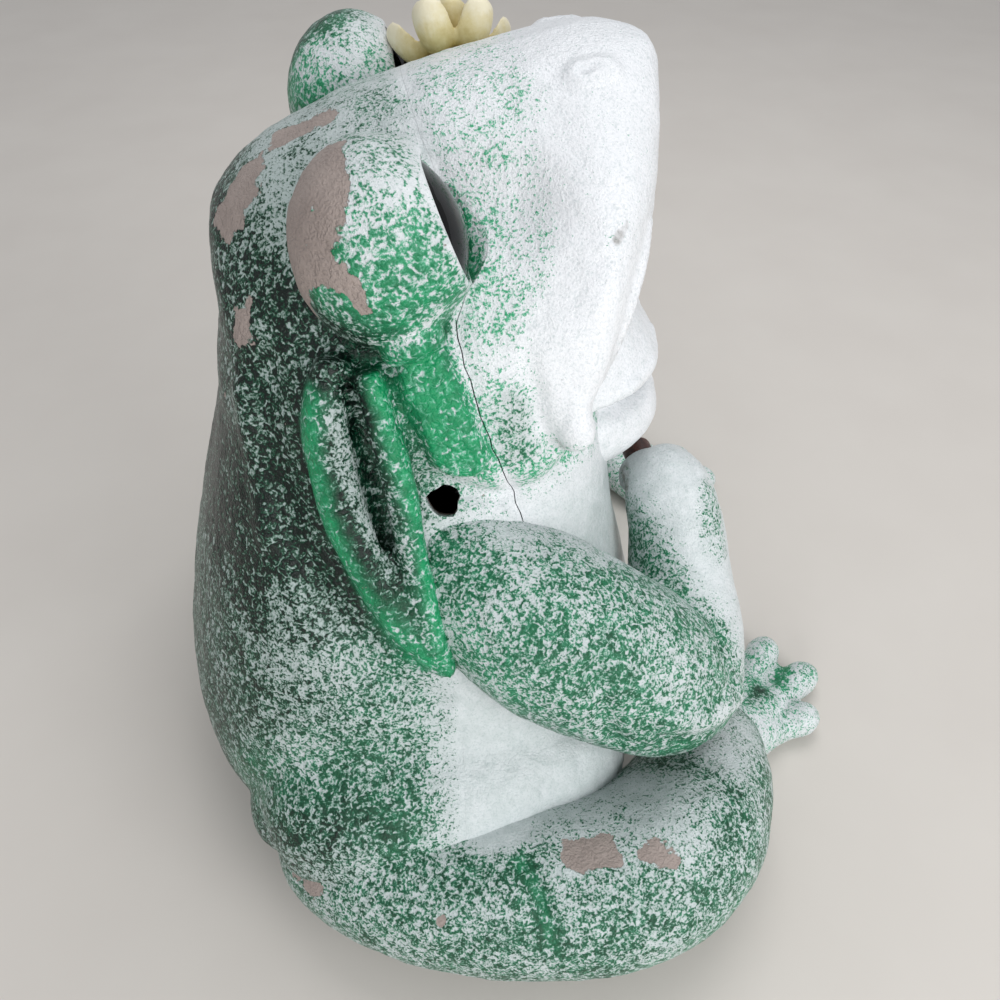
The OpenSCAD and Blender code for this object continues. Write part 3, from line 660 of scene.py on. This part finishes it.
# ---- legs and feet
legShape = {"hip": -36.19, "reach": 116, "side": 103, "width": 55, "clay": 1.4, "blend": 5,
            "lumps": [(20, 1.2), (6, 0.5), (2.6, 0.25)]}
legRows = [[-0.06, -0.3, 0.12, 0.4], [-0.03, -0.24, 0.3, 0.42], [0.06, -0.08, 0.43, 0.45],
           [0.22, 0.15, 0.48, 0.48], [0.48, 0.37, 0.5, 0.5], [0.78, 0.45, 0.5, 0.5], [0.99, 0.32, 0.5, 0.5],
           [1.12, 0.06, 0.45, 0.45], [1.2, -0.18, 0.38, 0.38], [1.26, -0.34, 0.3, 0.3],
           [1.3, -0.44, 0.14, 0.2]]  # hip to ankle: shares of reach, side, radius and height
footShape = {"ankle": (109.97, -84.3), "length": 60, "heel": 11.55, "toe": 6.5, "sunk": 0.5, "web": 8,
             "webReach": 0.9, "webFoot": 0.2, "clay": 1.1, "blend": 9, "lumps": [(9, 0.8), (3, 0.3)]}
toeLays = [(0.84, 66), (0.98, 46), (0.98, 27), (0.75, 10)]  # share of the foot's length, degrees turned in
toeRows = [[-0.2, 0, 0.6], [0.05, 0, 1], [0.4, 0.8, 0.35], [0.68, 0.93, 0], [0.88, 1.06, 0], [0.97, 0.9, 0],
           [1, 0.4, 0]]  # heel to tip: share of length, and radius as shares of toe and heel
legStrokes = [
    ([(26, -129, 53), (29, -138, 50), (30, -145, 42)], 6, -2, 1),
    ([(-18.5, -97, 72), (-16, -99, 72)], 12, -3, 1),
    ([(70, -128, 52), (80, -120, 50)], 16, 2, 1),
    ([(96, -118, 40), (104, -104, 34)], 6, -2, 1),
    ([(-30, -110, 50), (-10, -118, 52)], 10, 1.5, 1),
]


def makeLeg(name, side):
    f = legShape
    rows = [[s[0] * f["reach"] + f["hip"], side * (f["side"] + s[1] * f["width"]), s[3] * f["width"],
             s[2] * f["width"]] for s in legRows]
    leg = meltTogether([wrapSphere(name, 44, 52, limbPoint(rows))], f["clay"], f["blend"])
    leg.name = name
    seatOnBody(leg)
    seatInHaunch(leg, side)
    sculpt(leg, legStrokes, side)
    roughen(leg, f["lumps"])
    return standOnFloor(leg)


def makeFoot(name, side):
    f = footShape
    ankle = np.array(f["ankle"])
    forms, corners = [], [ankle]
    for length, turn in toeLays:
        way = np.array([math.cos(math.radians(turn)), math.sin(math.radians(turn))])
        rows = []
        for along, toe, heel in toeRows:
            r = toe * f["toe"] + heel * f["heel"]
            spot = ankle + way * along * length * f["length"]
            rows.append([spot[0], -side * spot[1], r - f["sunk"], r])
        forms.append(wrapSphere(name, 28, 30, limbPoint(rows)))
        corners.append(ankle + f["webReach"] * length * f["length"] * way)
    web = addForm(bpy.ops.mesh.primitive_circle_add, vertices=len(corners), radius=1, fill_type="NGON")
    setPoints(web, np.array([[x, -side * y, f["webFoot"]] for x, y in corners]) * mm)
    foot = meltTogether(forms + [closeForm(web, (0, 0, f["web"] * mm))], f["clay"], f["blend"])
    foot.name = name
    roughen(foot, f["lumps"])
    return standOnFloor(foot)


rightLeg, leftLeg = makeLeg("rightLeg", -1), makeLeg("leftLeg", 1)
rightFoot, leftFoot = makeFoot("rightFoot", -1), makeFoot("leftFoot", 1)
print("legs and feet", len(rightLeg.data.polygons), len(rightFoot.data.polygons))


# ---- glass eyes
def makeGlass(name, side):
    f = eyeShape
    curve = (f["glass"] ** 2 + f["dome"] ** 2) / (2 * f["dome"])
    spread = math.asin(f["glass"] / curve)

    def at(share, angle):
        # back, small chamfer, wall, then the dome from its edge to its top
        if share < 0.2:
            r, out = (f["glass"] - f["edge"]) * share / 0.2, -f["socket"]
        elif share < 0.3:
            r = f["glass"] - f["edge"] + f["edge"] * (share - 0.2) / 0.1
            out = -f["socket"] + f["edge"] * (share - 0.2) / 0.1
        elif share < 0.4:
            r, out = f["glass"], -f["socket"] + f["edge"] + (f["socket"] - f["edge"]) * (share - 0.3) / 0.1
        else:
            bend = spread * (1 - (share - 0.4) / 0.6)
            r, out = curve * math.sin(bend), f["dome"] - curve + curve * math.cos(bend)
        across = math.cos(angle) * np.array([0, 1, 0]) + math.sin(angle) * eyeUp
        return eyePlace(side, f["rim"] + out) + r * across
    return wrapSphere(name, 56, 42, at)


rightEyeGlass, leftEyeGlass = makeGlass("rightEyeGlass", -1), makeGlass("leftEyeGlass", 1)

# ---- carved flower
flowerShape = {
    "place": (34.4, 27.9, 218.6), "tilt": -40, "cup": 19, "foot": 15.2, "height": 3, "root": 1.5, "petal": 13,
    "width": 10.6, "thickness": 3.6, "clay": 0.55, "blend": 4, "heart": 1.05, "heartLength": 6.5,
    "rounding": 0.9}
petalRings = {"outer": (6, 7.98, 1, 32), "inner": (4, 3.23, 1.2, 8)}  # count, radius, share of length and lean
petalRows = [[0, 0.7, 1, 0], [0.25, 0.95, 1, 0.12], [0.55, 1, 0.9, 0.2], [0.85, 0.85, 0.75, 0.2],
             [1, 0.4, 0.5, 0.12]]  # base to tip: shares of length, width, thickness and outward lean


def inFlower(place):
    f = flowerShape
    tilt = math.radians(f["tilt"])
    x, y, z = place
    return [f["place"][0] + x, f["place"][1] + y * math.cos(tilt) - z * math.sin(tilt),
            f["place"][2] + y * math.sin(tilt) + z * math.cos(tilt)]


def petalPoint(size, lean, ring, turn):
    f = flowerShape

    def at(share, angle):
        row = rowAt(petalRows, share)
        s, c = math.sin(angle), math.cos(angle)
        out = row[3] * f["petal"] + row[2] * f["thickness"] / 2 * c - f["width"] / 4 * row[1] * s * s
        up, across = row[0] * size, row[1] * f["width"] / 2 * s
        a, b = math.radians(lean), math.radians(turn)
        r, z = ring + out * math.cos(a) + up * math.sin(a), up * math.cos(a) - out * math.sin(a)
        return inFlower([r * math.cos(b) - across * math.sin(b), r * math.sin(b) + across * math.cos(b),
                         max(z, -1) + f["height"]])
    return at


def makePetals(name, count, ring, share, lean):
    size = share * flowerShape["petal"]
    forms = []
    for i in range(count):
        wild = math.sin(i * 2.4 + count)
        pointAt = petalPoint(size * (1 + 0.05 * wild), lean + 4 * wild, ring, 360 * i / count)
        forms.append(wrapSphere(name, 24, 20, pointAt))
    return meltTogether(forms, flowerShape["clay"], flowerShape["blend"])


def makeCup(name):
    f = flowerShape
    cup = addForm(bpy.ops.mesh.primitive_cone_add, vertices=48, radius1=f["foot"] / 2 * mm,
                  radius2=f["cup"] / 2 * mm, depth=(f["height"] + f["root"]) * mm)
    cup.name = name
    middle = (f["height"] - f["root"]) / 2
    setPoints(cup, np.array([inFlower([x, y, z + middle]) for x, y, z in points(cup) / mm]) * mm)
    applyModifier(cup, "BEVEL", width=f["rounding"] * mm, segments=3)
    return cup


def makeHeart(name):
    f = flowerShape
    heart = addForm(bpy.ops.mesh.primitive_uv_sphere_add, segments=24, ring_count=16, radius=1)
    heart.name = name
    wide, half = f["heart"], f["heartLength"] / 2
    setPoints(heart, np.array([inFlower([x * wide, y * wide, f["height"] + half + z * half])
                               for x, y, z in points(heart)]) * mm)
    return heart


outerPetals = makePetals("flowerOuterPetals", *petalRings["outer"])
innerPetals = makePetals("flowerInnerPetals", *petalRings["inner"])
flowerCup, flowerHeart = makeCup("flowerCup"), makeHeart("flowerHeart")
print("flower", len(outerPetals.data.polygons), len(innerPetals.data.polygons))

# ---- held stick and its collar
stickShape = {"start": -47, "length": 90, "radius": 2.5, "rounding": 0.7}
collarShape = {"start": -23, "length": 9, "radius": 5, "rounding": 1.2}


def makeRound(name, f):
    piece = addRod(name, f["start"] + f["length"] / 2, f["length"], f["radius"], 40)
    applyModifier(piece, "BEVEL", width=f["rounding"] * mm, segments=3)
    return piece


heldStick = makeRound("heldStick", stickShape)
stickCollar = makeRound("stickCollar", collarShape)
print("stick and collar")

# ---- where the paint lies: green, dark green, bare casting, and dirt with painted shade, each from 0 to 1; the dark green carries painted shade too
green, dark, bare, dirtAndShade = 0, 1, 2, 3


def step(low, high, value):
    t = np.clip((value - low) / (high - low), 0, 1)
    return t * t * (3 - 2 * t)


def near(place, centre, inner, outer):
    return 1 - step(inner, outer, np.linalg.norm(place - np.array(centre), axis=1))


def paintPiece(piece, base, *layers):
    # layers: side and marks, which side -1 leaves in place; a mark is channel, amount, width and line
    place, out = points(piece) / mm, normals(piece)
    paint = base(place, out)
    for side, marks in layers:
        test = onNearSide(place, side)
        for channel, amount, width, line in marks:
            share = falloff(lineDistance(test, line) / width, 1.0 if channel == bare else 1.4)
            paint[:, channel] += (amount - paint[:, channel]) * share
    layer = piece.data.attributes.new("paint", "FLOAT_COLOR", "POINT")
    layer.data.foreach_set("color", np.clip(paint, 0, 1).astype(np.float32).ravel())


def figureBase(place, out):
    x, y, z = place.T
    cover = 0.58 - 0.54 * step(-2, 18, x) * (1 - step(128, 150, z))
    # more green on the neck and the back: partly the paint's own denser green, partly painted shade
    cover += 0.3 * step(102, 128, z) * step(6, -14, x) + 0.2 * step(-34, -58, x)  # darker neck and back
    front = step(30, 52, x)  # cheek to snout
    head = step(150, 165, z)
    cover = cover * (1 - head) + head * (0.78 - 0.56 * step(18, 30, x) - 0.2 * front)
    crown = step(205, 216, z + 0.25 * np.abs(y)) * step(-34, -16, x)
    cover = cover * (1 - crown) + crown * (0.32 - 0.22 * front)
    bulb = near(onNearSide(place, 0), (7, -43, 206), 23, 26)
    cover = cover * (1 - bulb) + bulb * (0.78 + 0.2 * step(200, 186, z) - 0.42 * step(212, 228, z))
    belly = step(20, 45, x) * (1 - step(120, 150, z))
    cover *= 1 - 0.9 * belly
    # painted shade: deeper green on the back and the neck
    deep = 0.52 + 0.22 * step(-8, -34, x) + 0.5 * step(102, 128, z) * step(6, -14, x)
    deep = deep * (1 - step(10, 30, x) * step(120, 150, z))
    # painted shade: the bulb's green deeper towards its lower part
    deep = deep * (1 - bulb) + bulb * (0.2 + 0.6 * step(206, 190, z + 0.5 * x))
    flaked = np.zeros_like(x)
    # more of the dirt-and-shade channel close to the floor: darker towards the bottom
    dirtAndShadeLaid = 0.06 + 0.25 * step(8, 0, z)
    seam = np.exp(-(np.abs(x - seamAt(z)) / 2.2) ** 2) * step(10, 60, z)
    cover *= 1 - 0.85 * seam
    return np.column_stack([cover, deep, flaked, dirtAndShadeLaid])


def limbBase(most, deep, white=None):
    def at(place, out):
        # paler ahead of the white limits, and deeper green on the underside, where the surface faces down:
        # painted shade
        cover = np.full(len(place), most)
        if white:
            cover -= (most - 0.12) * step(*white, place[:, 0] - 0.45 * (np.abs(place[:, 1]) - 80))
        low = deep + 0.3 * step(-0.1, -0.7, out[:, 2])
        return np.column_stack([cover, low, np.zeros(len(place)), np.full(len(place), 0.04)])
    return at


def paleBase(place, out):
    count = len(place)
    return np.column_stack([np.zeros(count), np.full(count, 0.1), np.zeros(count), np.full(count, 0.05)])


cheekBlock = [(12, -57, 188), (14, -61, 177), (18, -65, 167), (20, -66, 160)]
rearStrap = [(-15, -55, 176), (-16, -60, 162), (-15, -66, 148), (-13, -71, 138), (-9, -77, 128), (-3, -83, 117),
             (5, -88, 106)]
nearMarks = [  # on the near side: bare patches, greens of the crown and a pit in the cheek
    (bare, 1, 15, [(-11, -46, 203), (-10, -48, 215), (-5, -46, 225)]),
    (bare, 1, 9, [(-5, -57, 212), (-3, -54, 222), (-2, -47, 228)]),
    (bare, 0.9, 4, [(-1, -62, 210), (2, -63, 204)]), (bare, 0.95, 13, [(-24, -12, 209), (-29, -14, 204)]),
    (bare, 0.75, 9, [(-13, -6, 217), (-2, -4, 221)]), (bare, 0.9, 8, [(-30, -33, 189), (-31, -35, 182)]),
    (bare, 0.7, 8, [(-22, 30, 200), (-28, 26, 194)]), (bare, 0.8, 7, [(-60, 20, 90)]),
    (bare, 0.8, 10, [(-66, -22, 60)]), (bare, 0.7, 8, [(-50, 60, 110)]),
    (green, 0.4, 9, [(33, -13, 229), (43, -20, 228)]), (green, 0.4, 6, [(5, -4, 224), (16, -13, 225)]),
    (dirtAndShade, 0.65, 2.6, [(64.5, -44, 208), (61, -46, 205.5)])]
pairMarks = [  # on both sides
    # beside the eye
    (green, 0.5, 12, [(31, -34, 204), (34, -42, 198), (30, -50, 192)]),
    (green, 0.95, 3.5, [(25, -26, 212), (27, -29, 207), (28, -36, 199), (28, -44, 194)]),
    (green, 0.25, 10, [(40, -44, 198), (40, -40, 212)]), (green, 0.5, 11, [(33, -60, 173), (33, -61, 158)]),
    (dark, 0.4, 8, [(34, -60, 170), (35, -61, 158)]),
    # dense green of the cheek block and the straps, worn white along their edges, with painted shade in the
    # groove between them
    (green, 1, 14, cheekBlock), (dark, 0.1, 14, cheekBlock), (green, 0.75, 6, [(2, -54, 192), (-10, -52, 188)]),
    (green, 0.9, 14, [(-12, -55, 178), (-12, -60, 160), (-9, -68, 142), (0, -80, 120)]),
    # painted shade: dark green laid along the groove between the straps, in this row and in the narrower dark
    # line below
    (dark, 0.75, 9, [(-5, -56, 176), (-4, -62, 158), (-3, -68, 144), (0, -74, 130)]), (green, 1, 8, rearStrap),
    (dark, 0.12, 8, rearStrap), (green, 0.6, 5, [(-9, -58, 172), (-8, -62, 160), (-2, -78, 126)]),
    (green, 0.35, 5.5, [(-10, -60, 162), (-8, -64, 150), (-7, -68, 141)]),
    (dark, 1, 4.5, [(-4, -56, 178), (-2, -61, 161), (-1, -67, 146), (0, -72, 133), (2, -79, 117)]),
    (green, 1, 7, [(2, -58, 182), (4, -61, 172), (6, -66, 160), (8, -70, 149), (9, -75, 138), (9, -79, 128),
     (10, -86, 117), (12, -90, 105)]),
    (dark, 0.08, 6.5, [(3, -58, 182), (5, -61, 172), (7, -66, 160), (9, -70, 149), (10, -75, 138),
     (10, -79, 128), (11, -86, 117), (13, -90, 105)]),
    (green, 0, 2.6, [(9, -62, 170), (11, -65, 160), (13, -68, 149), (14, -72, 141), (14, -77, 132),
     (14, -84, 119), (15, -90, 106)]), (green, 0.3, 6, [(18, -64, 150), (24, -64, 146)]),
    (dark, 0.9, 7, [(-27, -50, 165), (-27, -60, 145), (-22, -70, 128)]),
    # painted shade: dark green under the eye's bulb
    (dark, 0.9, 6, [(-12, -50, 200), (-8, -54, 196), (-3, -57, 193)]),
    (green, 0.45, 2.6, [(-3, -58, 193), (6, -61, 193), (14, -61, 196), (19, -59, 200)]),
    # paler flank, then the deep greens of the rump
    (green, 0.55, 16, [(-27, -74, 118), (-20, -84, 102)]), (green, 0.72, 20, [(-40, -96, 52), (-14, -98, 70)]),
    (dark, 0.5, 22, [(-52, -86, 52), (-30, -92, 70)]), (green, 0.8, 14, [(-42, -100, 56), (-10, -112, 60)]),
    # dirt under the fold; painted shade in the hollow beside it and in the nostril slits
    (dirtAndShade, 0.7, 6, [(48, -62, 159)]), (dirtAndShade, 0.4, 3, [(43, -61, 170), (44, -62, 162)]),
    (dirtAndShade, 0.45, 1.4, [(59, -18, 234), (62, -17, 234)])]
farBulbMarks = [
    (green, 1, 15, [(0, 46, 229), (-10, 50, 221), (-12, 50, 208)]),
    (dark, 0.6, 13, [(-4, 48, 228), (-12, 50, 218)])]
armMarks = [
    (green, 0.3, 15, [(34, -68, 136), (50, -66, 128), (66, -64, 112)]),
    (green, 0.7, 14, [(40, -97, 121), (56, -100, 112)]),
    (green, 0.75, 12, [(57, -110, 84), (78, -110, 76), (98, -100, 70)]),
    (dark, 0.3, 12, [(14, -91, 118), (28, -98, 100)]),
    (green, 0.1, 4, [(79, -109, 85), (88, -106, 84), (99, -98, 77)]),
    (green, 0.1, 17, [(100, -66, 102), (96, -54, 112), (88, -36, 116)]),
    (green, 0.45, 8, [(101, -47, 113), (101, -60, 104)]), (dirtAndShade, 0.8, 7, [(81, -30, 110), (81, -36, 108)]),
    (dirtAndShade, 0.5, 9, [(84, 30, 108), (86, 40, 110)])]
legMarks = [
    (bare, 1, 9, [(42, -129, 54), (50, -130, 54)]), (bare, 0.85, 7, [(62, -132, 54), (70, -134, 52)]),
    (bare, 0.8, 5, [(75, -137, 49)]), (bare, 0.9, 5, [(28, -147, 37)]), (bare, 0.9, 5, [(1, -136, 46)]),
    (bare, 0.95, 9, [(-43, -114, 40), (-38, -118, 40)]), (bare, 0.9, 8, [(60, 138, 50), (70, 134, 50)]),
    (green, 0.08, 11, [(18, -118, 55), (30, -116, 55), (44, -112, 50), (64, -110, 50)]),
    (green, 0.3, 20, [(44, -122, 52), (74, -122, 50)]),
    (dark, 0.35, 3, [(25, -128, 54), (29, -138, 51), (30, -147, 44)]),
    (green, 0.9, 5, [(26, -129, 54), (29, -138, 51), (30, -148, 42)]),
    (dark, 0.4, 14, [(90, -138, 32), (60, -152, 22)]), (green, 0.3, 14, [(96, -106, 46), (108, -94, 36)])]
footMarks = [
    (green, 0.95, 9, [(124, -76, 14), (134, -66, 12)]), (dark, 0.8, 7, [(126, -74, 14), (134, -68, 12)]),
    (green, 0.85, 5, [(146, -64, 10), (152, -56, 9)]), (bare, 0.6, 6, [(150, -74, 10)])]
# painted shade: dark lines laid along the crease of the lower lip
jawCreaseShadeMarks = [
    (dirtAndShade, 0.5, 1.6, [(83, -18, 146), (76, -30, 146)]), (dirtAndShade, 0.4, 2, [(86, -14, 147), (81, -24, 147)])]

for piece in (rearCasting, frontCasting):
    paintPiece(piece, figureBase, (-1, nearMarks), (0, pairMarks), (-1, farBulbMarks))
paintPiece(lowerJaw, paleBase, (0, jawCreaseShadeMarks))
for side, arm, leg, foot in ((-1, rightArm, rightLeg, rightFoot), (1, leftArm, leftLeg, leftFoot)):
    paintPiece(arm, limbBase(0.62, 0.42, (90, 106)), (side, armMarks))
    paintPiece(leg, limbBase(0.62, 0.55), (side, legMarks))
    paintPiece(foot, limbBase(0.4, 0.2), (side, footMarks))
hollowSkin = KDTree(len(inside))
for i, spot in enumerate(inside):
    hollowSkin.insert(spot, i)
hollowSkin.balance()
for piece in (rearCasting, frontCasting):
    layer = piece.data.attributes["paint"]
    flat = np.empty(len(layer.data) * 4, np.float32)
    layer.data.foreach_get("color", flat)
    flat = flat.reshape(-1, 4)
    deep = np.array([hollowSkin.find(spot)[2] < hollowShape["skin"] * mm for spot in points(piece)])
    # inside the hollow: bare casting, darkened a little with the dirt-and-shade channel as painted shade
    flat[deep] = [0, 0, 1, 0.4]  # the hollow was never painted
    layer.data.foreach_set("color", flat.ravel())
print("paint laid")

# ---- materials
# paint colours; shade is painted shade in the white's pits, and dull greys the whites where the dark channel
# runs high
paintColour = {"white": "#EAECEF", "shade": "#CFD6D8", "dull": "#7F9991", "mint": "#74C6A6", "green": "#16935E",
               "deep": "#08603F", "black": "#03150F", "bare": "#B0A39C", "bareDark": "#8A7D77",
               "dirtAndShade": "#5F5546"}
# lumps per metre: dabs of 13 mm, worms of 1.6, grains of 0.7, pools of 4, tooth of 1 and flakes of 9
paintGrain = {"dabs": 75, "worms": 620, "grains": 1500, "pools": 240, "tooth": 900, "flakes": 110}
glassColour = "#2E2B36"
irisColour = [(0, "#101014"), (0.62, "#121216"), (0.74, "#3B3D2E"), (0.88, "#6C6A4A"), (0.93, "#B08B3C"),
              (1, "#2A2A24")]
# petal colours from the middle out: the olive-brown at the middle is painted shade, then the petals' own yellow
# and cream
petalColour = [(0, "#6E6230"), (0.3, "#8F8044"), (0.5, "#BCA866"), (0.75, "#D6C896"), (1, "#E4DCC0")]


def spongedPaint():
    # gloss masonry paint on cast stone, green sponged over white: wet-looking, in worm-like grains
    colour, size = paintColour, paintGrain
    material, tree, shader, where = newMaterial("spongedGlossPaint", {"Specular IOR Level": 0.35})
    laid = addNode(tree, "ShaderNodeAttribute", {}, attribute_name="paint")
    amount = addNode(tree, "ShaderNodeSeparateColor", {0: laid.outputs["Color"]})
    dabs = noise(tree, where, size["dabs"], 2, Roughness=0.5)
    worms = noise(tree, where, size["worms"], 1, Roughness=0.4, Distortion=0.9)
    fine = noise(tree, where, size["grains"], 2, Roughness=0.6)
    pools = noise(tree, where, size["pools"], 3, Roughness=0.6)
    tooth = noise(tree, where, size["tooth"], 3, Roughness=0.6)
    chips = noise(tree, where, size["flakes"], 5, Roughness=0.6)

    # green where the grain passes a limit that falls with the amount laid
    cover = maths(tree, "ADD", amount.outputs["Red"], scaled(tree, dabs, 0.6, -0.3))
    ground = maths(tree, "MAXIMUM", scaled(tree, amount.outputs["Red"], -1.3, 0.86), 0.66)
    limit = scaled(tree, cover, -0.3, ground)
    finer = scaled(tree, cover, -0.5, 0.8, clamp=True)
    grains = mixedValue(tree, finer, worms, fine)
    over = maths(tree, "SUBTRACT", grains, limit)
    greenMask = scaled(tree, over, 9, 0.5, clamp=True)
    # deeper green, then black-green, towards the middle of each green worm in the deep places; where the dark
    # channel was laid as painted shade, this deepening is painted shade too
    unevenly = scaled(tree, pools, 0.6, amount.outputs["Green"])
    depth = scaled(tree, unevenly, 1.3, -0.45, clamp=True)
    poolMask = maths(tree, "MULTIPLY", depth, scaled(tree, over, 8, 0.05, clamp=True))
    # bare casting where the paint has flaked, with a ragged edge
    flaked = maths(tree, "ADD", amount.outputs["Blue"], scaled(tree, chips, 2.2, -1.6))
    bareMask = scaled(tree, flaked, 22, 0.5, clamp=True)
    # dirt and painted shade where they were laid, in the grain's low places
    dirtAndShadeInLows = maths(tree, "MULTIPLY", laid.outputs["Alpha"], pools)
    dirtAndShadeMask = scaled(tree, dirtAndShadeInLows, 3.2, -0.75, clamp=True)

    # white with painted shade in the grain's pits, dulled by the depth below, which is painted shade where the
    # dark channel was laid as shade; green thin at the rims of its grains; and all of it flaked, then given its
    # dirt and painted shade
    white = mixed(tree, scaled(tree, grains, -4.5, 2.3, clamp=True), colour["white"], colour["shade"])
    dullWhite = mixed(tree, maths(tree, "MULTIPLY", depth, 0.6), white, colour["dull"])
    freshGreen = mixed(tree, scaled(tree, over, -6, 0.9, clamp=True), colour["green"], colour["mint"])
    pooledGreen = mixed(tree, poolMask, mixed(tree, depth, freshGreen, colour["deep"]), colour["black"])
    sponged = mixed(tree, greenMask, dullWhite, pooledGreen)
    worn = mixed(tree, bareMask, sponged, mixed(tree, chips, colour["bareDark"], colour["bare"]))
    dirtAndShadeLaid = mixed(tree, dirtAndShadeMask, worn, colour["dirtAndShade"])
    # the paint's thickness, its grain and the casting's tooth
    film = scaled(tree, greenMask, 0.25, 0)
    body = scaled(tree, grains, scaled(tree, cover, 1.8, 0.6), film)
    edge = scaled(tree, bareMask, -0.7, body)
    relief = scaled(tree, pools, 1.1, scaled(tree, tooth, 0.22, edge))
    feed(tree, shader, {"Base Color": dirtAndShadeLaid, "Roughness": mixedValue(tree, bareMask, 0.3, 0.62),
                        "Normal": bumped(tree, relief, 0.8, 0.6)})
    return material


def eyeGlass():
    # cast smoked glass, fire-polished, with a sharp highlight
    material, tree, shader, where = newMaterial("polishedEyeGlass", {
        "Base Color": glassColour, "Transmission Weight": 1.0, "IOR": 1.25, "Specular IOR Level": 0.3})
    smears = noise(tree, where, 220, 4)
    feed(tree, shader, {"Roughness": scaled(tree, smears, 0.22, -0.06, clamp=True)})
    return material


def shareFrom(tree, where, centre, blot, wander, full):
    # distance from a centre as a share of the full one, with an edge that wanders; both in millimetres
    away = addNode(tree, "ShaderNodeVectorMath", {0: where, 1: centre}, operation="DISTANCE").outputs["Value"]
    reach = maths(tree, "ADD", away, scaled(tree, blot, 2 * wander * mm, -wander * mm))
    return maths(tree, "DIVIDE", reach, full * mm)


def backPaint():
    # paint on the back of the glass: a large black pupil, then olive and an amber edge, the rings wandering a
    # little
    material, tree, shader, where = newMaterial("eyeBackPaint", {"Roughness": 0.3})
    folded = addNode(tree, "ShaderNodeVectorMath", {0: where}, operation="ABSOLUTE").outputs[0]
    centre = eyePlace(1, eyeShape["rim"] - eyeShape["socket"]) * mm
    share = shareFrom(tree, folded, centre, noise(tree, where, 600, 3), 0.9, eyeShape["glass"])
    feed(tree, shader, {"Base Color": ramped(tree, share, irisColour)})
    return material


def creamPaint():
    # satin cream paint on carved petals: yellow-olive where they meet, darkest at the middle as painted shade,
    # and chalky at the rims
    material, tree, shader, where = newMaterial("satinCreamPaint", {})
    blot = noise(tree, where, 260, 4, Roughness=0.6)
    centre = [c * mm for c in inFlower([0, 0, flowerShape["height"]])]
    share = shareFrom(tree, where, centre, blot, 6, 18)
    feed(tree, shader, {"Base Color": ramped(tree, share, petalColour), "Normal": bumped(tree, blot, 0.5, 0.5),
                        "Roughness": scaled(tree, blot, 0.3, 0.3)})
    return material


def plainPaint(name, light, deep, roughness, scale, height):
    # brushed paint or cast stone of one tone: a light and a deep colour in blotches, with a relief's height
    material, tree, shader, where = newMaterial(name, {})
    blot = noise(tree, where, scale, 5, Roughness=0.65)
    sharp = scaled(tree, blot, 3.5, -1.25, clamp=True)
    feed(tree, shader, {"Base Color": mixed(tree, sharp, deep, light),
                        "Normal": bumped(tree, blot, 0.5, height),
                        "Roughness": scaled(tree, sharp, -0.15, roughness)})
    return material


def dress(material, *dressed):
    for piece in dressed:
        piece.data.materials.clear()
        piece.data.materials.append(material)


dress(spongedPaint(), rearCasting, frontCasting, lowerJaw, rightArm, leftArm, rightLeg, leftLeg, rightFoot,
      leftFoot)
dress(eyeGlass(), rightEyeGlass, leftEyeGlass)
dress(creamPaint(), flowerCup, outerPetals, innerPetals, flowerHeart)
# thin paint on the stick, thick and dirty paint on its collar, and a base that was never painted
dress(plainPaint("brushedBlueGreyPaint", "#5F8A92", "#37555C", 0.5, 300, 0.3), heldStick)
dress(plainPaint("darkRedBrownPaint", "#5A2C20", "#2B130E", 0.45, 400, 0.3), stickCollar)
backs, plate = backPaint(), plainPaint("bareCastStone", "#B9AEA3", "#8F857B", 0.85, 240, 0.6)
for name, material in (("right_pupil", backs), ("left_pupil", backs), ("base_plate", plate)):
    for slot in bpy.data.objects[name].material_slots:
        slot.material = material
print("materials")

pieces = [  # piece, the node it replaces and its slot; only the stick and its collar ride the body rod
    (rearCasting, "rear_shell", "green_casting"), (frontCasting, "front_shell", "white_casting"),
    (lowerJaw, "lower_jaw", "white_casting"), (rightArm, "right_arm", "green_casting"),
    (leftArm, "left_arm", "green_casting"), (rightLeg, "right_leg", "green_casting"),
    (leftLeg, "left_leg", "green_casting"), (rightFoot, "right_foot", "green_casting"),
    (leftFoot, "left_foot", "green_casting"), (rightEyeGlass, "right_eye_glass", "eye_glass"),
    (leftEyeGlass, "left_eye_glass", "eye_glass"), (flowerCup, "flower_cup", "cream_casting"),
    (outerPetals, "flower_outer_petals", "cream_casting"),
    (innerPetals, "flower_inner_petals", "cream_casting"),
    (flowerHeart, "flower_heart", "cream_casting"), (heldStick, "rod", "rod_paint"),
    (stickCollar, "rod_collar", "collar_paint")]
for piece, node, slot in pieces:
    settle(piece)
    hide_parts(node)
    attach(piece, "rod" if piece in (heldStick, stickCollar) else "figure")
